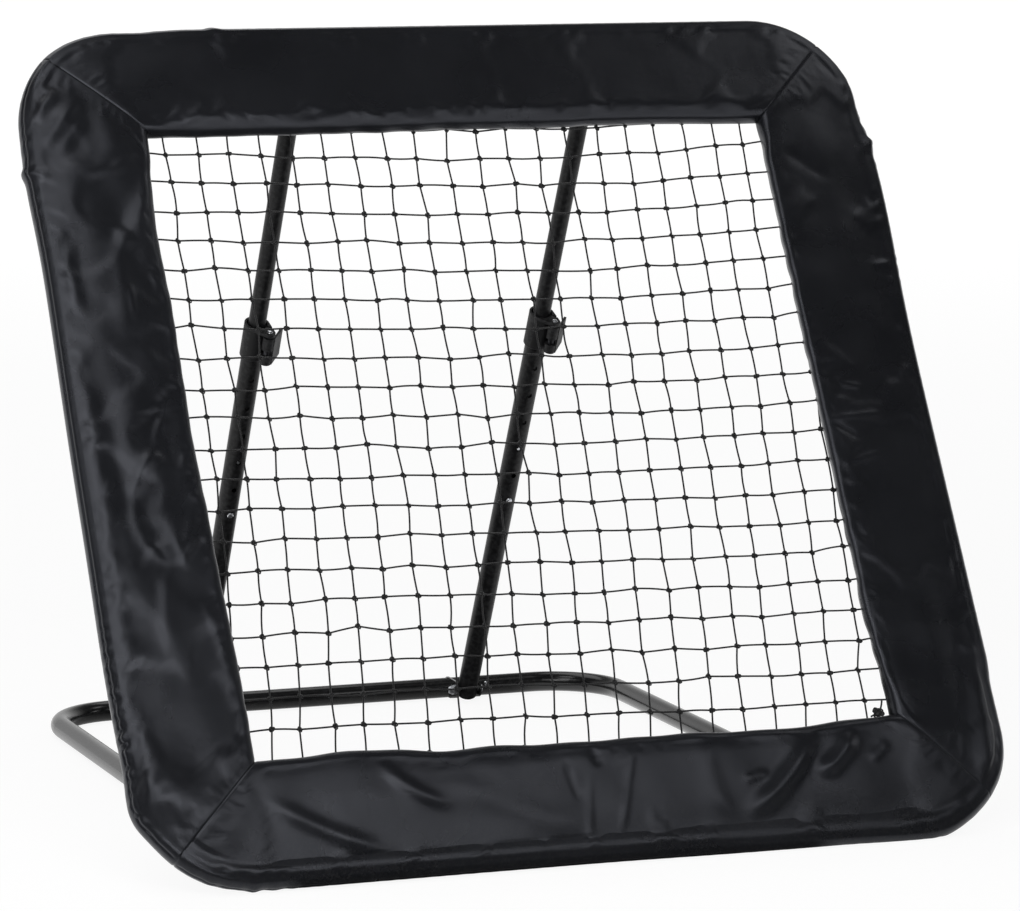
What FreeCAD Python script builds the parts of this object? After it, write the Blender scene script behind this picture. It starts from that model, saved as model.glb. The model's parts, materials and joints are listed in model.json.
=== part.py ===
import FreeCAD, Part
import math
import os
import Sketcher

# Ball rebounder: a padded square net frame leaning back on a tubular floor base,
# held by two telescopic legs. Millimetres, +Z up, +X to the right, -Y to the front,
# origin on the floor under the middle of the object.

V = FreeCAD.Vector

# Driving dimensions, in millimetres unless the name says otherwise.
SIZES = {
    # Leaning frame, tube centre to tube centre
    "lean_degrees": 58.5,
    "frame_width": 1175.0,
    "frame_height": 1175.0,
    "frame_tube_od": 28.0,
    "frame_tube_wall": 1.2,
    "frame_bend_radius": 125.0,
    "frame_corner_leg": 300.0,
    "spigot_length": 45.0,
    "spigot_gap": 0.1,
    "swage_taper": 5.0,
    # Floor base, from the hinge axis back to the rear tube's axis
    "base_depth": 1095.0,
    "base_width": 870.0,
    "base_tube_od": 30.0,
    "base_tube_wall": 1.2,
    "base_bend_radius": 105.0,
    "base_rear_length": 456.0,
    "base_corner_run": 640.0,
    "hinge_sleeve_length": 50.0,
    "hinge_sleeve_wall": 3.0,
    "running_gap": 0.08,
    # Foot brackets on the rear tube and the pivots of the legs
    "leg_spacing": 428.0,
    "foot_setback": 35.0,
    "foot_pivot_height": 18.0,
    "foot_tail": 7.0,
    "foot_cap_thickness": 3.0,
    "foot_cap_insert": 14.0,
    "ear_thickness": 3.0,
    "ear_side_gap": 1.0,
    "ear_rim": 1.5,
    "foot_ear_radius": 12.5,
    "floor_gap": 0.5,
    "pivot_bolt_diameter": 8.0,
    "bolt_head_diameter": 14.0,
    "bolt_head_height": 5.0,
    "nut_across_corners": 15.0,
    "nut_height": 6.5,
    "nut_cap_diameter": 12.0,
    "nut_cap_height": 5.1,
    "bolt_end_gap": 1.3,
    # Telescopic legs, heights measured along the leg from the foot pivot
    "leg_lower_od": 30.0,
    "leg_lower_wall": 1.2,
    "leg_lower_length": 669.0,
    "leg_upper_od": 25.0,
    "leg_upper_wall": 1.2,
    "leg_upper_tail": 30.0,
    "leg_top_tail": 8.0,
    "open_pivot_gap": 1.5,
    "hole_first_drop": 80.5,
    "hole_pitch": 47.0,
    "hole_count": 5,
    "hole_in_use": 4,
    "hole_diameter": 7.6,
    "stop_rivet_drop": 312.0,
    "stop_rivet_diameter": 4.8,
    "stop_rivet_head_diameter": 9.0,
    "stop_rivet_head_height": 2.2,
    "stop_rivet_tail": 4.4,
    "bush_depth": 30.0,
    "bush_flange": 2.0,
    # Lock buttons and their leaf springs
    "button_diameter": 6.6,
    "button_flange_diameter": 9.0,
    "button_flange_thickness": 1.3,
    "button_below_bore": 0.3,
    "button_stand_out": 2.0,
    "button_edge_chamfer": 1.2,
    "spring_width": 7.0,
    "spring_strip": 0.7,
    "spring_pad": 7.0,
    "spring_reach": 40.0,
    "spring_bend_depth": 4.2,
    "joint_inset": 24.0,
    "base_button_lift_degrees": 20.0,
    # Clamp collar, its lever, pin and eye bolt
    "collar_height": 54.0,
    "collar_rise": 7.0,
    "collar_wall": 2.9,
    "collar_chamfer": 1.5,
    "collar_slot": 3.0,
    "clamp_turn_degrees": 36.0,
    "clamp_pin_out": 24.0,
    "clamp_pin_front": 13.5,
    "clamp_pin_diameter": 6.0,
    "clamp_pin_head_diameter": 8.4,
    "clamp_pin_head_height": 1.8,
    "clamp_eye_radius": 8.2,
    "clamp_eye_plate": 5.0,
    "jaw_thickness": 3.5,
    "jaw_reach": 29.0,
    "jaw_height": 28.0,
    "jaw_middle": 21.6,
    "eye_bolt_diameter": 5.0,
    "eye_bolt_ring_height": 8.0,
    "eye_bolt_ring_wall": 2.0,
    "lever_height": 43.0,
    "lever_top_gap": 3.0,
    "lever_window": 10.0,
    "lever_plate": 3.5,
    "lever_length": 33.0,
    "lever_face_gap": 0.7,
    # Hanger brackets under the frame's top tube
    "hanger_drop": 75.0,
    "hanger_setback": 30.0,
    "hanger_ear_radius": 12.0,
    # Joint screws
    "screw_diameter": 4.0,
    "screw_head_diameter": 8.0,
    "screw_head_height": 2.2,
    "screw_point": 2.3,
    # Net, its border rope, elastic loops and corner tie
    "rope_inset": 95.0,
    "rope_diameter": 6.0,
    "rope_corner_radius": 20.0,
    "net_thickness": 2.5,
    "net_rope_gap": 0.3,
    "net_gaps": 17,
    "net_strand": 3.0,
    "loop_cord": 4.0,
    "loop_gap": 0.3,
    "loop_count": 8,
    "tie_diameter": 14.0,
    # Padded cover, measured from the frame tube's centre
    "pad_reach": 145.0,
    "pad_edge_top": 24.5,
    "pad_edge_bottom": 4.0,
    "pad_crown": 27.0,
    "pad_nose_depth": 8.0,
    "pad_nose_round": 6.0,
    "pad_root": 104.0,
    "pad_root_height": 7.0,
    "cover_skin": 2.0,
    "flap_reach": 48.0,
    "flap_notch_gap": 4.0,
    "flap_notch_front": 3.0,
    "foam_gap": 0.3,
    "foam_start": 30.0,
    "foam_nose_gap": 1.6,
    "foam_edge_drop": 0.6,
    "foam_crown_drop": 0.4,
    "elastic_width": 8.0,
    "elastic_thickness": 1.0,
    "elastic_inset": 1.0,
}

doc = FreeCAD.newDocument("Rebounder")
sheet = doc.addObject("Spreadsheet::Sheet", "Sizes")
for row, (alias, number) in enumerate(SIZES.items(), start=1):
    sheet.set(f"A{row}", alias)
    sheet.set(f"B{row}", str(number))
    sheet.setAlias(f"B{row}", alias)
doc.recompute()

NODES = []


class Dim:
    """A size that keeps its value beside the sheet expression that gives it."""

    def __init__(self, text, value):
        self.text = text
        self.value = float(value)

    @staticmethod
    def of(other):
        if isinstance(other, Dim):
            return other
        return Dim(f"({float(other)!r})", other)

    def _join(self, sign, other, value):
        return Dim(f"({self.text} {sign} {other.text})", value)

    def __add__(self, other):
        other = Dim.of(other)
        return self._join("+", other, self.value + other.value)

    def __sub__(self, other):
        other = Dim.of(other)
        return self._join("-", other, self.value - other.value)

    def __mul__(self, other):
        other = Dim.of(other)
        return self._join("*", other, self.value * other.value)

    def __truediv__(self, other):
        other = Dim.of(other)
        return self._join("/", other, self.value / other.value)

    def __radd__(self, other):
        return Dim.of(other) + self

    def __rsub__(self, other):
        return Dim.of(other) - self

    def __rmul__(self, other):
        return Dim.of(other) * self

    def __neg__(self):
        return Dim.of(0) - self


def size(alias):
    return Dim("Sizes." + alias, sheet.get(alias))


def number(dim):
    return Dim.of(dim).value


def half_chord(radius, offset):
    """Half the chord that a circle leaves at an offset from its centre."""
    radius, offset = Dim.of(radius), Dim.of(offset)
    text = f"sqrt({radius.text} * {radius.text} - {offset.text} * {offset.text})"
    return Dim(text, math.sqrt(radius.value**2 - offset.value**2))


# Sizes that several pieces share
FRAME_R = size("frame_tube_od") / 2
FRAME_BORE = FRAME_R - size("frame_tube_wall")
BASE_R = size("base_tube_od") / 2
BASE_BORE = BASE_R - size("base_tube_wall")
LOWER_R = size("leg_lower_od") / 2
LOWER_BORE = LOWER_R - size("leg_lower_wall")
UPPER_R = size("leg_upper_od") / 2
UPPER_BORE = UPPER_R - size("leg_upper_wall")
HALF_W = size("frame_width") / 2
HEIGHT = size("frame_height")
BOLT_R = size("pivot_bolt_diameter") / 2
RUN = size("running_gap")
SLEEVE_R = FRAME_R + RUN + size("hinge_sleeve_wall")
SIDE_X = size("base_width") / 2
FOOT_Y = size("base_depth") - size("foot_setback")
HANGER_S = HEIGHT - size("hanger_drop")
HANGER_N = -size("hanger_setback")
CAVITY_R = FRAME_R + size("loop_cord") + size("loop_gap") * 2
COVER_R = CAVITY_R + size("cover_skin")
HINGE_Z = COVER_R + size("floor_gap")
LEG_X = size("leg_spacing") / 2

# A drill or slot that cuts a tube runs on past it by this much
OVERRUN = 1.0
# A point this near a line counts as on it
NEAR = 1.0
# A domed head's outline, as shares of its radius and its height
CROWN = ((1, 0), (1, 0.3), (0.8, 0.75), (0.4, 1), (0, 1))

# The hinge axis lies this far in front of the middle of the footprint
HINGE_Y = (number(COVER_R) - number(size("base_depth") + BASE_R)) / 2


def leg_line():
    """Length and lean of a leg from its foot pivot to its top pivot, in the lean as built."""
    lean = math.radians(number(size("lean_degrees")))
    up = number(HANGER_S)
    out = number(HANGER_N)
    top_y = up * math.cos(lean) - out * math.sin(lean)
    top_z = number(HINGE_Z) + up * math.sin(lean) + out * math.cos(lean)
    forward = number(FOOT_Y) - top_y
    rise = top_z - number(size("foot_pivot_height"))
    return math.hypot(forward, rise), math.degrees(math.atan2(forward, rise))


LEG_LENGTH, LEG_LEAN = leg_line()
HOLE_Z = [
    size("leg_lower_length") - size("hole_first_drop") - size("hole_pitch") * step
    for step in range(int(number(size("hole_count"))))
]
LOCK_Z = HOLE_Z[int(number(size("hole_in_use"))) - 1]

# Directions for cylinders that start along Z
TURNS = {
    "+z": (V(1, 0, 0), 0),
    "-z": (V(1, 0, 0), 180),
    "+x": (V(0, 1, 0), 90),
    "-x": (V(0, 1, 0), -90),
    "+y": (V(1, 0, 0), -90),
    "-y": (V(1, 0, 0), 90),
}


def base_frame():
    return FreeCAD.Placement(V(0, HINGE_Y, 0), FreeCAD.Rotation())


def lean_frame():
    turn = FreeCAD.Rotation(V(1, 0, 0), number(size("lean_degrees")))
    return FreeCAD.Placement(V(0, HINGE_Y, number(HINGE_Z)), turn)


def leg_frame(side):
    foot = V(side * number(LEG_X), HINGE_Y + number(FOOT_Y), number(size("foot_pivot_height")))
    return FreeCAD.Placement(foot, FreeCAD.Rotation(V(1, 0, 0), LEG_LEAN))


def bind(thing, prop, dim):
    thing.setExpression(prop, Dim.of(dim).text)


def put(thing, at, along="+z"):
    """Places an object, turned to a direction, at a point whose coordinates stay bound."""
    turn = FreeCAD.Rotation(*TURNS[along]) if isinstance(along, str) else along
    thing.Placement = FreeCAD.Placement(V(*[number(c) for c in at]), turn)
    for letter, dim in zip("xyz", at):
        if isinstance(dim, Dim):
            thing.setExpression("Placement.Base." + letter, dim.text)
    return thing


def cylinder(name, radius, height, at=(0, 0, 0), along="+z"):
    piece = doc.addObject("Part::Cylinder", name)
    bind(piece, "Radius", radius)
    bind(piece, "Height", height)
    return put(piece, at, along)


def box(name, length, width, height, at):
    piece = doc.addObject("Part::Box", name)
    bind(piece, "Length", length)
    bind(piece, "Width", width)
    bind(piece, "Height", height)
    return put(piece, at)


def prism(name, corners, circumradius, height, at, along):
    piece = doc.addObject("Part::Prism", name)
    piece.Polygon = corners
    bind(piece, "Circumradius", circumradius)
    bind(piece, "Height", height)
    return put(piece, at, along)


def fused(name, pieces):
    joined = doc.addObject("Part::MultiFuse", name)
    joined.Shapes = pieces
    return joined


def cut(name, base, tools):
    result = doc.addObject("Part::Cut", name)
    result.Base = base
    result.Tool = tools[0] if len(tools) == 1 else fused(name + "_tools", tools)
    return result


def group(name, pieces):
    together = doc.addObject("Part::Compound", name)
    together.Links = pieces
    return together


def shaped(name, shape):
    feature = doc.addObject("Part::Feature", name)
    feature.Shape = shape
    return feature


def node(label, piece, placement):
    """Names a finished piece and stands it in the part's own frame."""
    piece.Label = label
    piece.Placement = placement.multiply(piece.Placement)
    NODES.append(piece)
    return piece


# Sketched bodies


def origin_plane(body, role):
    return next(f for f in body.Origin.OriginFeatures if f.Role == role)


def new_sketch(body, name, role):
    sketch = body.newObject("Sketcher::SketchObject", name)
    sketch.AttachmentSupport = [(origin_plane(body, role), "")]
    sketch.MapMode = "FlatFace"
    return sketch


def hold_point(sketch, geometry, end, x, y):
    """Holds a point of a sketch at x and y from the sketch's origin."""
    for kind, axis, dim in (("DistanceX", -2, x), ("DistanceY", -1, y)):
        dim = Dim.of(dim)
        if dim.value == 0:
            sketch.addConstraint(Sketcher.Constraint("PointOnObject", geometry, end, axis))
            continue
        place = Sketcher.Constraint(kind, -1, 1, geometry, end, dim.value)
        index = sketch.addConstraint(place)
        sketch.setExpression(f"Constraints[{index}]", dim.text)


def outline(sketch, points):
    """Draws a closed outline of straight lines through bound points."""
    corners = [V(number(x), number(y), 0) for x, y in points]
    count = len(points)
    for i in range(count):
        sketch.addGeometry(Part.LineSegment(corners[i], corners[(i + 1) % count]), False)
    for i in range(count):
        sketch.addConstraint(Sketcher.Constraint("Coincident", i, 2, (i + 1) % count, 1))
    for i, (x, y) in enumerate(points):
        hold_point(sketch, i, 1, x, y)


def turned(name, points):
    """A solid of revolution about Z from an outline of (radius, height) points."""
    body = doc.addObject("PartDesign::Body", name)
    sketch = new_sketch(body, name + "_outline", "XZ_Plane")
    outline(sketch, points)
    turn = body.newObject("PartDesign::Revolution", name + "_turn")
    turn.Profile = sketch
    turn.ReferenceAxis = (sketch, ["V_Axis"])
    turn.Angle = 360
    return body


def plate(name, role, points, thickness, start):
    """A plate cut to an outline, standing off its plane by start."""
    body = doc.addObject("PartDesign::Body", name)
    sketch = new_sketch(body, name + "_outline", role)
    bind(sketch, "AttachmentOffset.Base.z", start)
    outline(sketch, points)
    pad = body.newObject("PartDesign::Pad", name + "_pad")
    pad.Profile = sketch
    bind(pad, "Length", thickness)
    return body


def bent_tube(name, run_in, run_out, radius, outer, bore):
    """A tube along X to the origin's corner, round a right angle and away along Y."""
    body = doc.addObject("PartDesign::Body", name)
    path = new_sketch(body, name + "_path", "XY_Plane")
    bend = number(radius)
    enter, leave = V(-bend, 0, 0), V(0, bend, 0)
    middle = V(-bend, bend, 0) + V(1, -1, 0) * (bend / math.sqrt(2))
    arc = Part.Arc(enter, middle, leave)
    path.addGeometry(Part.LineSegment(V(-number(run_in), 0, 0), enter), False)
    path.addGeometry(arc, False)
    path.addGeometry(Part.LineSegment(leave, V(0, number(run_out), 0)), False)
    path.addConstraint(Sketcher.Constraint("Tangent", 0, 2, 1, 1))
    path.addConstraint(Sketcher.Constraint("Coincident", 1, 2, 2, 1))
    hold_point(path, 0, 1, -run_in, 0)
    hold_point(path, 0, 2, -radius, 0)
    hold_point(path, 2, 1, 0, radius)
    hold_point(path, 2, 2, 0, run_out)
    ring = new_sketch(body, name + "_ring", "YZ_Plane")
    bind(ring, "AttachmentOffset.Base.z", -run_in)
    for index, rim in enumerate((outer, bore)):
        ring.addGeometry(Part.Circle(V(0, 0, 0), V(0, 0, 1), number(rim)), False)
        ring.addConstraint(Sketcher.Constraint("Coincident", index, 3, -1, 1))
        place = ring.addConstraint(Sketcher.Constraint("Radius", index, number(rim)))
        ring.setExpression(f"Constraints[{place}]", Dim.of(rim).text)
    pipe = body.newObject("PartDesign::AdditivePipe", name + "_pipe")
    pipe.Profile = ring
    pipe.Spine = (path, ["Edge1", "Edge2", "Edge3"])
    return body


def corner_turn(side, level):
    """How a bent tube is turned over into a corner: drawn for the right, leaving along +Y."""
    over_x = FreeCAD.Rotation(V(1, 0, 0), 180 if level > 0 else 0)
    over_y = FreeCAD.Rotation(V(0, 1, 0), 180 if side < 0 else 0)
    return over_x.multiply(over_y)


def tube_outline(bottom, top, outer, bore, spigot_bottom=False, spigot_top=False):
    """The wall of a straight tube, with swaged ends that fit inside a like tube."""
    neck = bore - size("spigot_gap")
    neck_bore = neck - (outer - bore)
    reach = size("spigot_length")
    taper = size("swage_taper")
    points = [(outer, bottom), (outer, top)]
    if spigot_top:
        points += [(neck, top), (neck, top + reach), (neck_bore, top + reach), (neck_bore, top - taper)]
        points += [(bore, top - taper * 2)]
    else:
        points += [(bore, top)]
    if spigot_bottom:
        points += [(bore, bottom + taper * 2), (neck_bore, bottom + taper), (neck_bore, bottom - reach)]
        points += [(neck, bottom - reach), (neck, bottom)]
    else:
        points += [(bore, bottom)]
    return points


def belt_face(x1, y1, r1, x2, y2, r2):
    """The face inside a belt round two circles: two tangent lines and two arcs."""
    heading = math.atan2(y2 - y1, x2 - x1)
    spread = math.acos((r1 - r2) / math.hypot(x2 - x1, y2 - y1))

    def rim(x, y, r, angle):
        return V(x + r * math.cos(angle), y + r * math.sin(angle), 0)

    left, right = heading + spread, heading - spread
    back = heading + math.pi
    edges = [
        Part.LineSegment(rim(x1, y1, r1, right), rim(x2, y2, r2, right)),
        Part.Arc(rim(x2, y2, r2, right), rim(x2, y2, r2, heading), rim(x2, y2, r2, left)),
        Part.LineSegment(rim(x2, y2, r2, left), rim(x1, y1, r1, left)),
        Part.Arc(rim(x1, y1, r1, left), rim(x1, y1, r1, back), rim(x1, y1, r1, right)),
    ]
    return Part.Face(Part.Wire([edge.toShape() for edge in edges]))


# Turns a drawing's X and Y into the Y and Z of a piece
UPRIGHT = FreeCAD.Rotation(V(1, 1, 1), 120)


def ear_pair(centre_x, inside, tube, pivot):
    """Two ears, a gap apart, each a belt round a tube and a pivot given as (y, z, radius)."""
    thick = number(size("ear_thickness"))
    ears = []
    for x in (number(centre_x) + number(inside), number(centre_x) - number(inside) - thick):
        ear = belt_face(*[number(c) for c in tube + pivot]).extrude(V(0, 0, thick))
        ear.Placement = FreeCAD.Placement(V(x, 0, 0), UPRIGHT)
        ears.append(ear)
    return Part.makeCompound(ears)


# Fasteners


def crown(radius, seat, rise):
    """The outline of a domed head, from the rim of its seat to the axis."""
    return [(radius * across if across else 0, seat + rise * up) for across, up in CROWN]


def dome_bolt(name, length):
    """A bolt whose domed head sits above Z 0 and whose shank runs down."""
    shank = [(0, -length), (BOLT_R, -length), (BOLT_R, 0)]
    return turned(name, shank + crown(size("bolt_head_diameter") / 2, 0, size("bolt_head_height")))


def dome_nut(name):
    """A domed hexagon nut that sits above Z 0, bored for the bolt."""
    half = size("nut_across_corners") / 2
    rise = size("nut_height")
    hexagon = prism(name + "_hex", 6, half, rise, (0, 0, 0), "+z")
    dome = crown(size("nut_cap_diameter") / 2, rise, size("nut_cap_height"))
    cap = turned(name + "_cap", [(0, rise)] + dome)
    bore = cylinder(name + "_bore", BOLT_R + RUN / 2, rise, (0, 0, 0))
    return cut(name, fused(name + "_body", [hexagon, cap]), [bore])


def pivot_fasteners(bolt_label, nut_label, grip, centres, placement):
    """A bolt and a dome nut for each pivot, head to the right, through ears a grip apart."""
    bolts = []
    nuts = []
    length = grip + size("nut_height") - size("bolt_end_gap")
    for index, (x, y, z) in enumerate(centres):
        bolt = dome_bolt(f"{bolt_label}_{index}", length)
        bolts.append(put(bolt, (x + grip / 2, y, z), "+x"))
        nuts.append(put(dome_nut(f"{nut_label}_{index}"), (x - grip / 2, y, z), "-x"))
    node(bolt_label, group(bolt_label, bolts), placement)
    node(nut_label, group(nut_label, nuts), placement)


def screw(name, seat, bore):
    """A screw along Z whose head starts at seat and whose point ends inside a swaged end."""
    depth = bore - size("spigot_gap") - (seat - bore) - size("screw_point")
    radius = size("screw_diameter") / 2
    shank = [(0, depth), (radius, depth), (radius, seat)]
    head = crown(size("screw_head_diameter") / 2, seat, size("screw_head_height"))
    return turned(name, shank + head)


def screw_hole(name, at, along, depth):
    return cylinder(name, size("screw_diameter") / 2 + RUN / 2, depth, at, along)


# Floor base


def side_name(side):
    return "left" if side < 0 else "right"


def base_button_x(side):
    return (size("base_rear_length") / 2 + size("joint_inset")) * side


def base_button_hole(name, side):
    """A hole for a spring button, facing forward and a little up."""
    radius = size("button_diameter") / 2 + RUN
    turn = FreeCAD.Rotation(V(1, 0, 0), 90 - number(size("base_button_lift_degrees")))
    return cylinder(name, radius, BASE_R * 2, (base_button_x(side), size("base_depth"), BASE_R), turn)


def build_rear_tube():
    half = size("base_rear_length") / 2
    wall = turned("rear_tube_wall", tube_outline(-half, half, BASE_R, BASE_BORE, True, True))
    put(wall, (0, size("base_depth"), BASE_R), "+x")
    holes = [base_button_hole(f"rear_tube_hole_{side_name(s)}", s) for s in (-1, 1)]
    node("base_rear_tube", cut("rear_tube", wall, holes), base_frame())


def joint_screw_y():
    """Where the screws of the base's side joints lie, inside the swaged ends."""
    return size("base_depth") - size("base_corner_run") + size("joint_inset")


def build_base_corner(side):
    name = side_name(side)
    depth = size("base_depth")
    half = size("base_rear_length") / 2
    bend = size("base_bend_radius")
    run = size("base_corner_run")
    tube = bent_tube(f"base_corner_{name}", SIDE_X - half, run, bend, BASE_R, BASE_BORE)
    put(tube, (SIDE_X * side, depth, BASE_R), corner_turn(side, 1))
    holes = [base_button_hole(f"base_corner_hole_{name}", side)]
    holes.append(side_screw_hole(f"corner_screw_{name}", side))
    node(f"base_corner_tube_{name}", cut(f"base_corner_cut_{name}", tube, holes), base_frame())


def side_screw_hole(name, side):
    radius = size("screw_diameter") / 2 + RUN / 2
    inward = "-x" if side > 0 else "+x"
    return cylinder(name, radius, BASE_R * 2, (SIDE_X * side, joint_screw_y(), BASE_R), inward)


def build_base_side(side):
    """A straight side tube welded to the sleeve that turns on the frame's bottom tube."""
    name = side_name(side)
    end = size("base_depth") - size("base_corner_run")
    wall = turned(f"base_side_wall_{name}", tube_outline(SLEEVE_R / 2, end, BASE_R, BASE_BORE, False, True))
    put(wall, (SIDE_X * side, 0, BASE_R), "+y")
    length = size("hinge_sleeve_length")
    start = (SIDE_X * side - length / 2, 0, HINGE_Z)
    sleeve = cylinder(f"sleeve_{name}", SLEEVE_R, length, start, "+x")
    bore = cylinder(f"sleeve_bore_{name}", FRAME_R + RUN, length, start, "+x")
    hole = side_screw_hole(f"side_screw_{name}", side)
    blank = fused(f"base_side_blank_{name}", [wall, sleeve])
    node(f"base_side_tube_{name}", cut(f"base_side_{name}", blank, [bore, hole]), base_frame())


def build_base_screws():
    screws = []
    for side in (-1, 1):
        piece = screw(f"base_screw_{side_name(side)}", BASE_R, BASE_BORE)
        at = (SIDE_X * side, joint_screw_y(), BASE_R)
        screws.append(put(piece, at, "-x" if side > 0 else "+x"))
    node("base_joint_screws", group("base_screws", screws), base_frame())


def build_foot_bracket(side):
    """Two welded ears that carry the foot bolt in front of the rear tube."""
    name = side_name(side)
    inside = LOWER_R + size("ear_side_gap")
    depth = size("base_depth")
    rim = BASE_R + size("ear_rim")
    pivot_z = size("foot_pivot_height")
    ears = ear_pair(LEG_X * side, inside, (depth, BASE_R, rim), (FOOT_Y, pivot_z, size("foot_ear_radius")))
    span = (inside + size("ear_thickness")) * 2
    x = LEG_X * side - span / 2
    tube = cylinder(f"foot_seat_{name}", BASE_R, span, (x, depth, BASE_R), "+x")
    pivot = cylinder(f"foot_hole_{name}", BOLT_R + RUN / 2, span, (x, FOOT_Y, pivot_z), "+x")
    floor = box(f"foot_floor_{name}", span, rim * 2, BASE_R, (x, depth - rim, size("floor_gap") - BASE_R))
    blank = shaped(f"foot_ears_{name}", ears)
    node(f"foot_bracket_{name}", cut(f"foot_bracket_{name}", blank, [tube, pivot, floor]), base_frame())


def build_foot_fasteners():
    grip = (LOWER_R + size("ear_side_gap") + size("ear_thickness")) * 2
    centres = [(LEG_X * side, FOOT_Y, size("foot_pivot_height")) for side in (-1, 1)]
    pivot_fasteners("foot_bolts", "foot_nuts", grip, centres, base_frame())


def build_base():
    build_rear_tube()
    for side in (-1, 1):
        build_base_corner(side)
        build_base_side(side)
        build_foot_bracket(side)
        build_base_button(side)
    build_base_screws()
    build_foot_fasteners()


# Spring buttons, made with the tube along Z and the button facing -Y


def button_seat(bore):
    """How far out the button's flange can sit before its rim meets the curved bore."""
    return half_chord(bore, size("button_flange_diameter") / 2) - RUN


def spring_button(name, bore, tip):
    """A button whose flange sits under the bore of its tube and whose tip stands at tip."""
    head = size("button_diameter") / 2
    flange = size("button_flange_diameter") / 2
    chamfer = size("button_edge_chamfer")
    seat = button_seat(bore)
    start = seat - size("button_flange_thickness")
    points = [(0, start), (flange, start), (flange, seat), (head, seat), (head, tip - chamfer)]
    return put(turned(name, points + [(head - chamfer, tip), (0, tip)]), (0, 0, 0), "-y")


def leaf_spring(name, bore):
    """A folded strip that presses the button out from the far wall of its tube."""
    half = size("spring_width") / 2
    strip = size("spring_strip")
    pad = size("spring_pad")
    reach = size("spring_reach")
    near = size("button_flange_thickness") - button_seat(bore)
    far = half_chord(bore, half) - RUN
    points = [(near, -pad), (near, pad), (-strip / 2, reach), (strip / 2, reach), (far, -pad)]
    fold = reach - size("spring_bend_depth")
    points += [(far - strip, -pad), (0, fold), (near + strip, pad), (near + strip, -pad)]
    return plate(name, "YZ_Plane", points, size("spring_width"), -half)


def turned_placement(frame, at, turn):
    return frame.multiply(FreeCAD.Placement(V(*[number(c) for c in at]), turn))


def build_base_button(side):
    """The button and spring that lock a rear joint, inside the swaged end."""
    name = side_name(side)
    bore = BASE_BORE - size("spigot_gap") - size("base_tube_wall")
    lift = FreeCAD.Rotation(V(1, 0, 0), -number(size("base_button_lift_degrees")))
    turn = lift.multiply(FreeCAD.Rotation(V(0, 1, 0), -90 * side))
    at = (base_button_x(side), size("base_depth"), BASE_R)
    place = turned_placement(base_frame(), at, turn)
    pin = spring_button(f"base_button_pin_{name}", bore, BASE_R + size("button_stand_out"))
    node(f"base_button_{name}", group(f"base_button_{name}", [pin]), place)
    node(f"base_button_spring_{name}", leaf_spring(f"base_leaf_{name}", bore), place)


def build_leg_button(side):
    """The button and spring in the upper tube; the button's tip stops inside the lower bore."""
    name = side_name(side)
    place = turned_placement(leg_frame(side), (0, 0, LOCK_Z), FreeCAD.Rotation())
    pin = spring_button(f"leg_button_pin_{name}", UPPER_BORE, LOWER_BORE - size("button_below_bore"))
    node(f"leg_button_{name}", group(f"leg_button_{name}", [pin]), place)
    node(f"leg_button_spring_{name}", leaf_spring(f"leg_leaf_{name}", UPPER_BORE), place)


# Telescopic legs, made with the foot pivot at the origin and the leg along Z


def across_hole(name, radius, reach, z):
    return cylinder(name, radius, reach * 2, (-reach, 0, z), "+x")


def front_hole(name, radius, reach, z):
    return cylinder(name, radius, reach, (0, 0, z), "-y")


def build_lower_tube(side):
    name = side_name(side)
    top = size("leg_lower_length")
    wall = turned(f"lower_wall_{name}", tube_outline(-size("foot_tail"), top, LOWER_R, LOWER_BORE))
    reach = LOWER_R + OVERRUN
    holes = [across_hole(f"lower_foot_hole_{name}", BOLT_R + RUN, reach, 0)]
    for index, z in enumerate(HOLE_Z):
        holes.append(front_hole(f"lower_hole_{name}_{index}", size("hole_diameter") / 2, reach, z))
    rivet = size("stop_rivet_diameter") / 2 + RUN / 2
    holes.append(front_hole(f"lower_rivet_hole_{name}", rivet, reach, top - size("stop_rivet_drop")))
    node(f"leg_lower_tube_{name}", cut(f"lower_tube_{name}", wall, holes), leg_frame(side))


def build_foot_cap(side):
    """A round cap plugged into the tube's end, with a cross hole for the foot bolt."""
    name = side_name(side)
    end = -size("foot_tail")
    thick = size("foot_cap_thickness")
    plug = LOWER_BORE - RUN
    hollow = plug - thick
    top = end + size("foot_cap_insert")
    points = [(0, end - thick), (LOWER_R - thick / 2, end - thick), (LOWER_R, end - thick / 2)]
    points += [(LOWER_R, end), (plug, end), (plug, top), (hollow, top), (hollow, end), (0, end)]
    cap = turned(f"foot_cap_body_{name}", points)
    hole = across_hole(f"foot_cap_hole_{name}", BOLT_R + RUN, LOWER_R, 0)
    node(f"leg_foot_cap_{name}", cut(f"foot_cap_{name}", cap, [hole]), leg_frame(side))


def build_bush(side):
    """A flanged plastic bush that guides the upper tube in the mouth of the lower one."""
    name = side_name(side)
    top = size("leg_lower_length")
    bore = UPPER_R + RUN
    sleeve = LOWER_BORE - RUN / 2
    points = [(bore, top - size("bush_depth")), (sleeve, top - size("bush_depth")), (sleeve, top)]
    points += [(LOWER_R, top), (LOWER_R, top + size("bush_flange")), (bore, top + size("bush_flange"))]
    node(f"leg_bush_{name}", turned(f"leg_bush_{name}", points), leg_frame(side))


def build_stop_rivet(side):
    """A domed rivet just under the lowest setting, which the upper tube can't pass."""
    name = side_name(side)
    head = size("stop_rivet_head_diameter") / 2
    shank = size("stop_rivet_diameter") / 2
    rise = size("stop_rivet_head_height")
    tail = LOWER_BORE - size("stop_rivet_tail")
    points = [(0, tail), (shank, tail), (shank, LOWER_R)]
    rivet = turned(f"stop_rivet_body_{name}", points + crown(head, LOWER_R, rise))
    put(rivet, (0, 0, size("leg_lower_length") - size("stop_rivet_drop")), "-y")
    node(f"leg_stop_rivet_{name}", group(f"stop_rivet_{name}", [rivet]), leg_frame(side))


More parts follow.
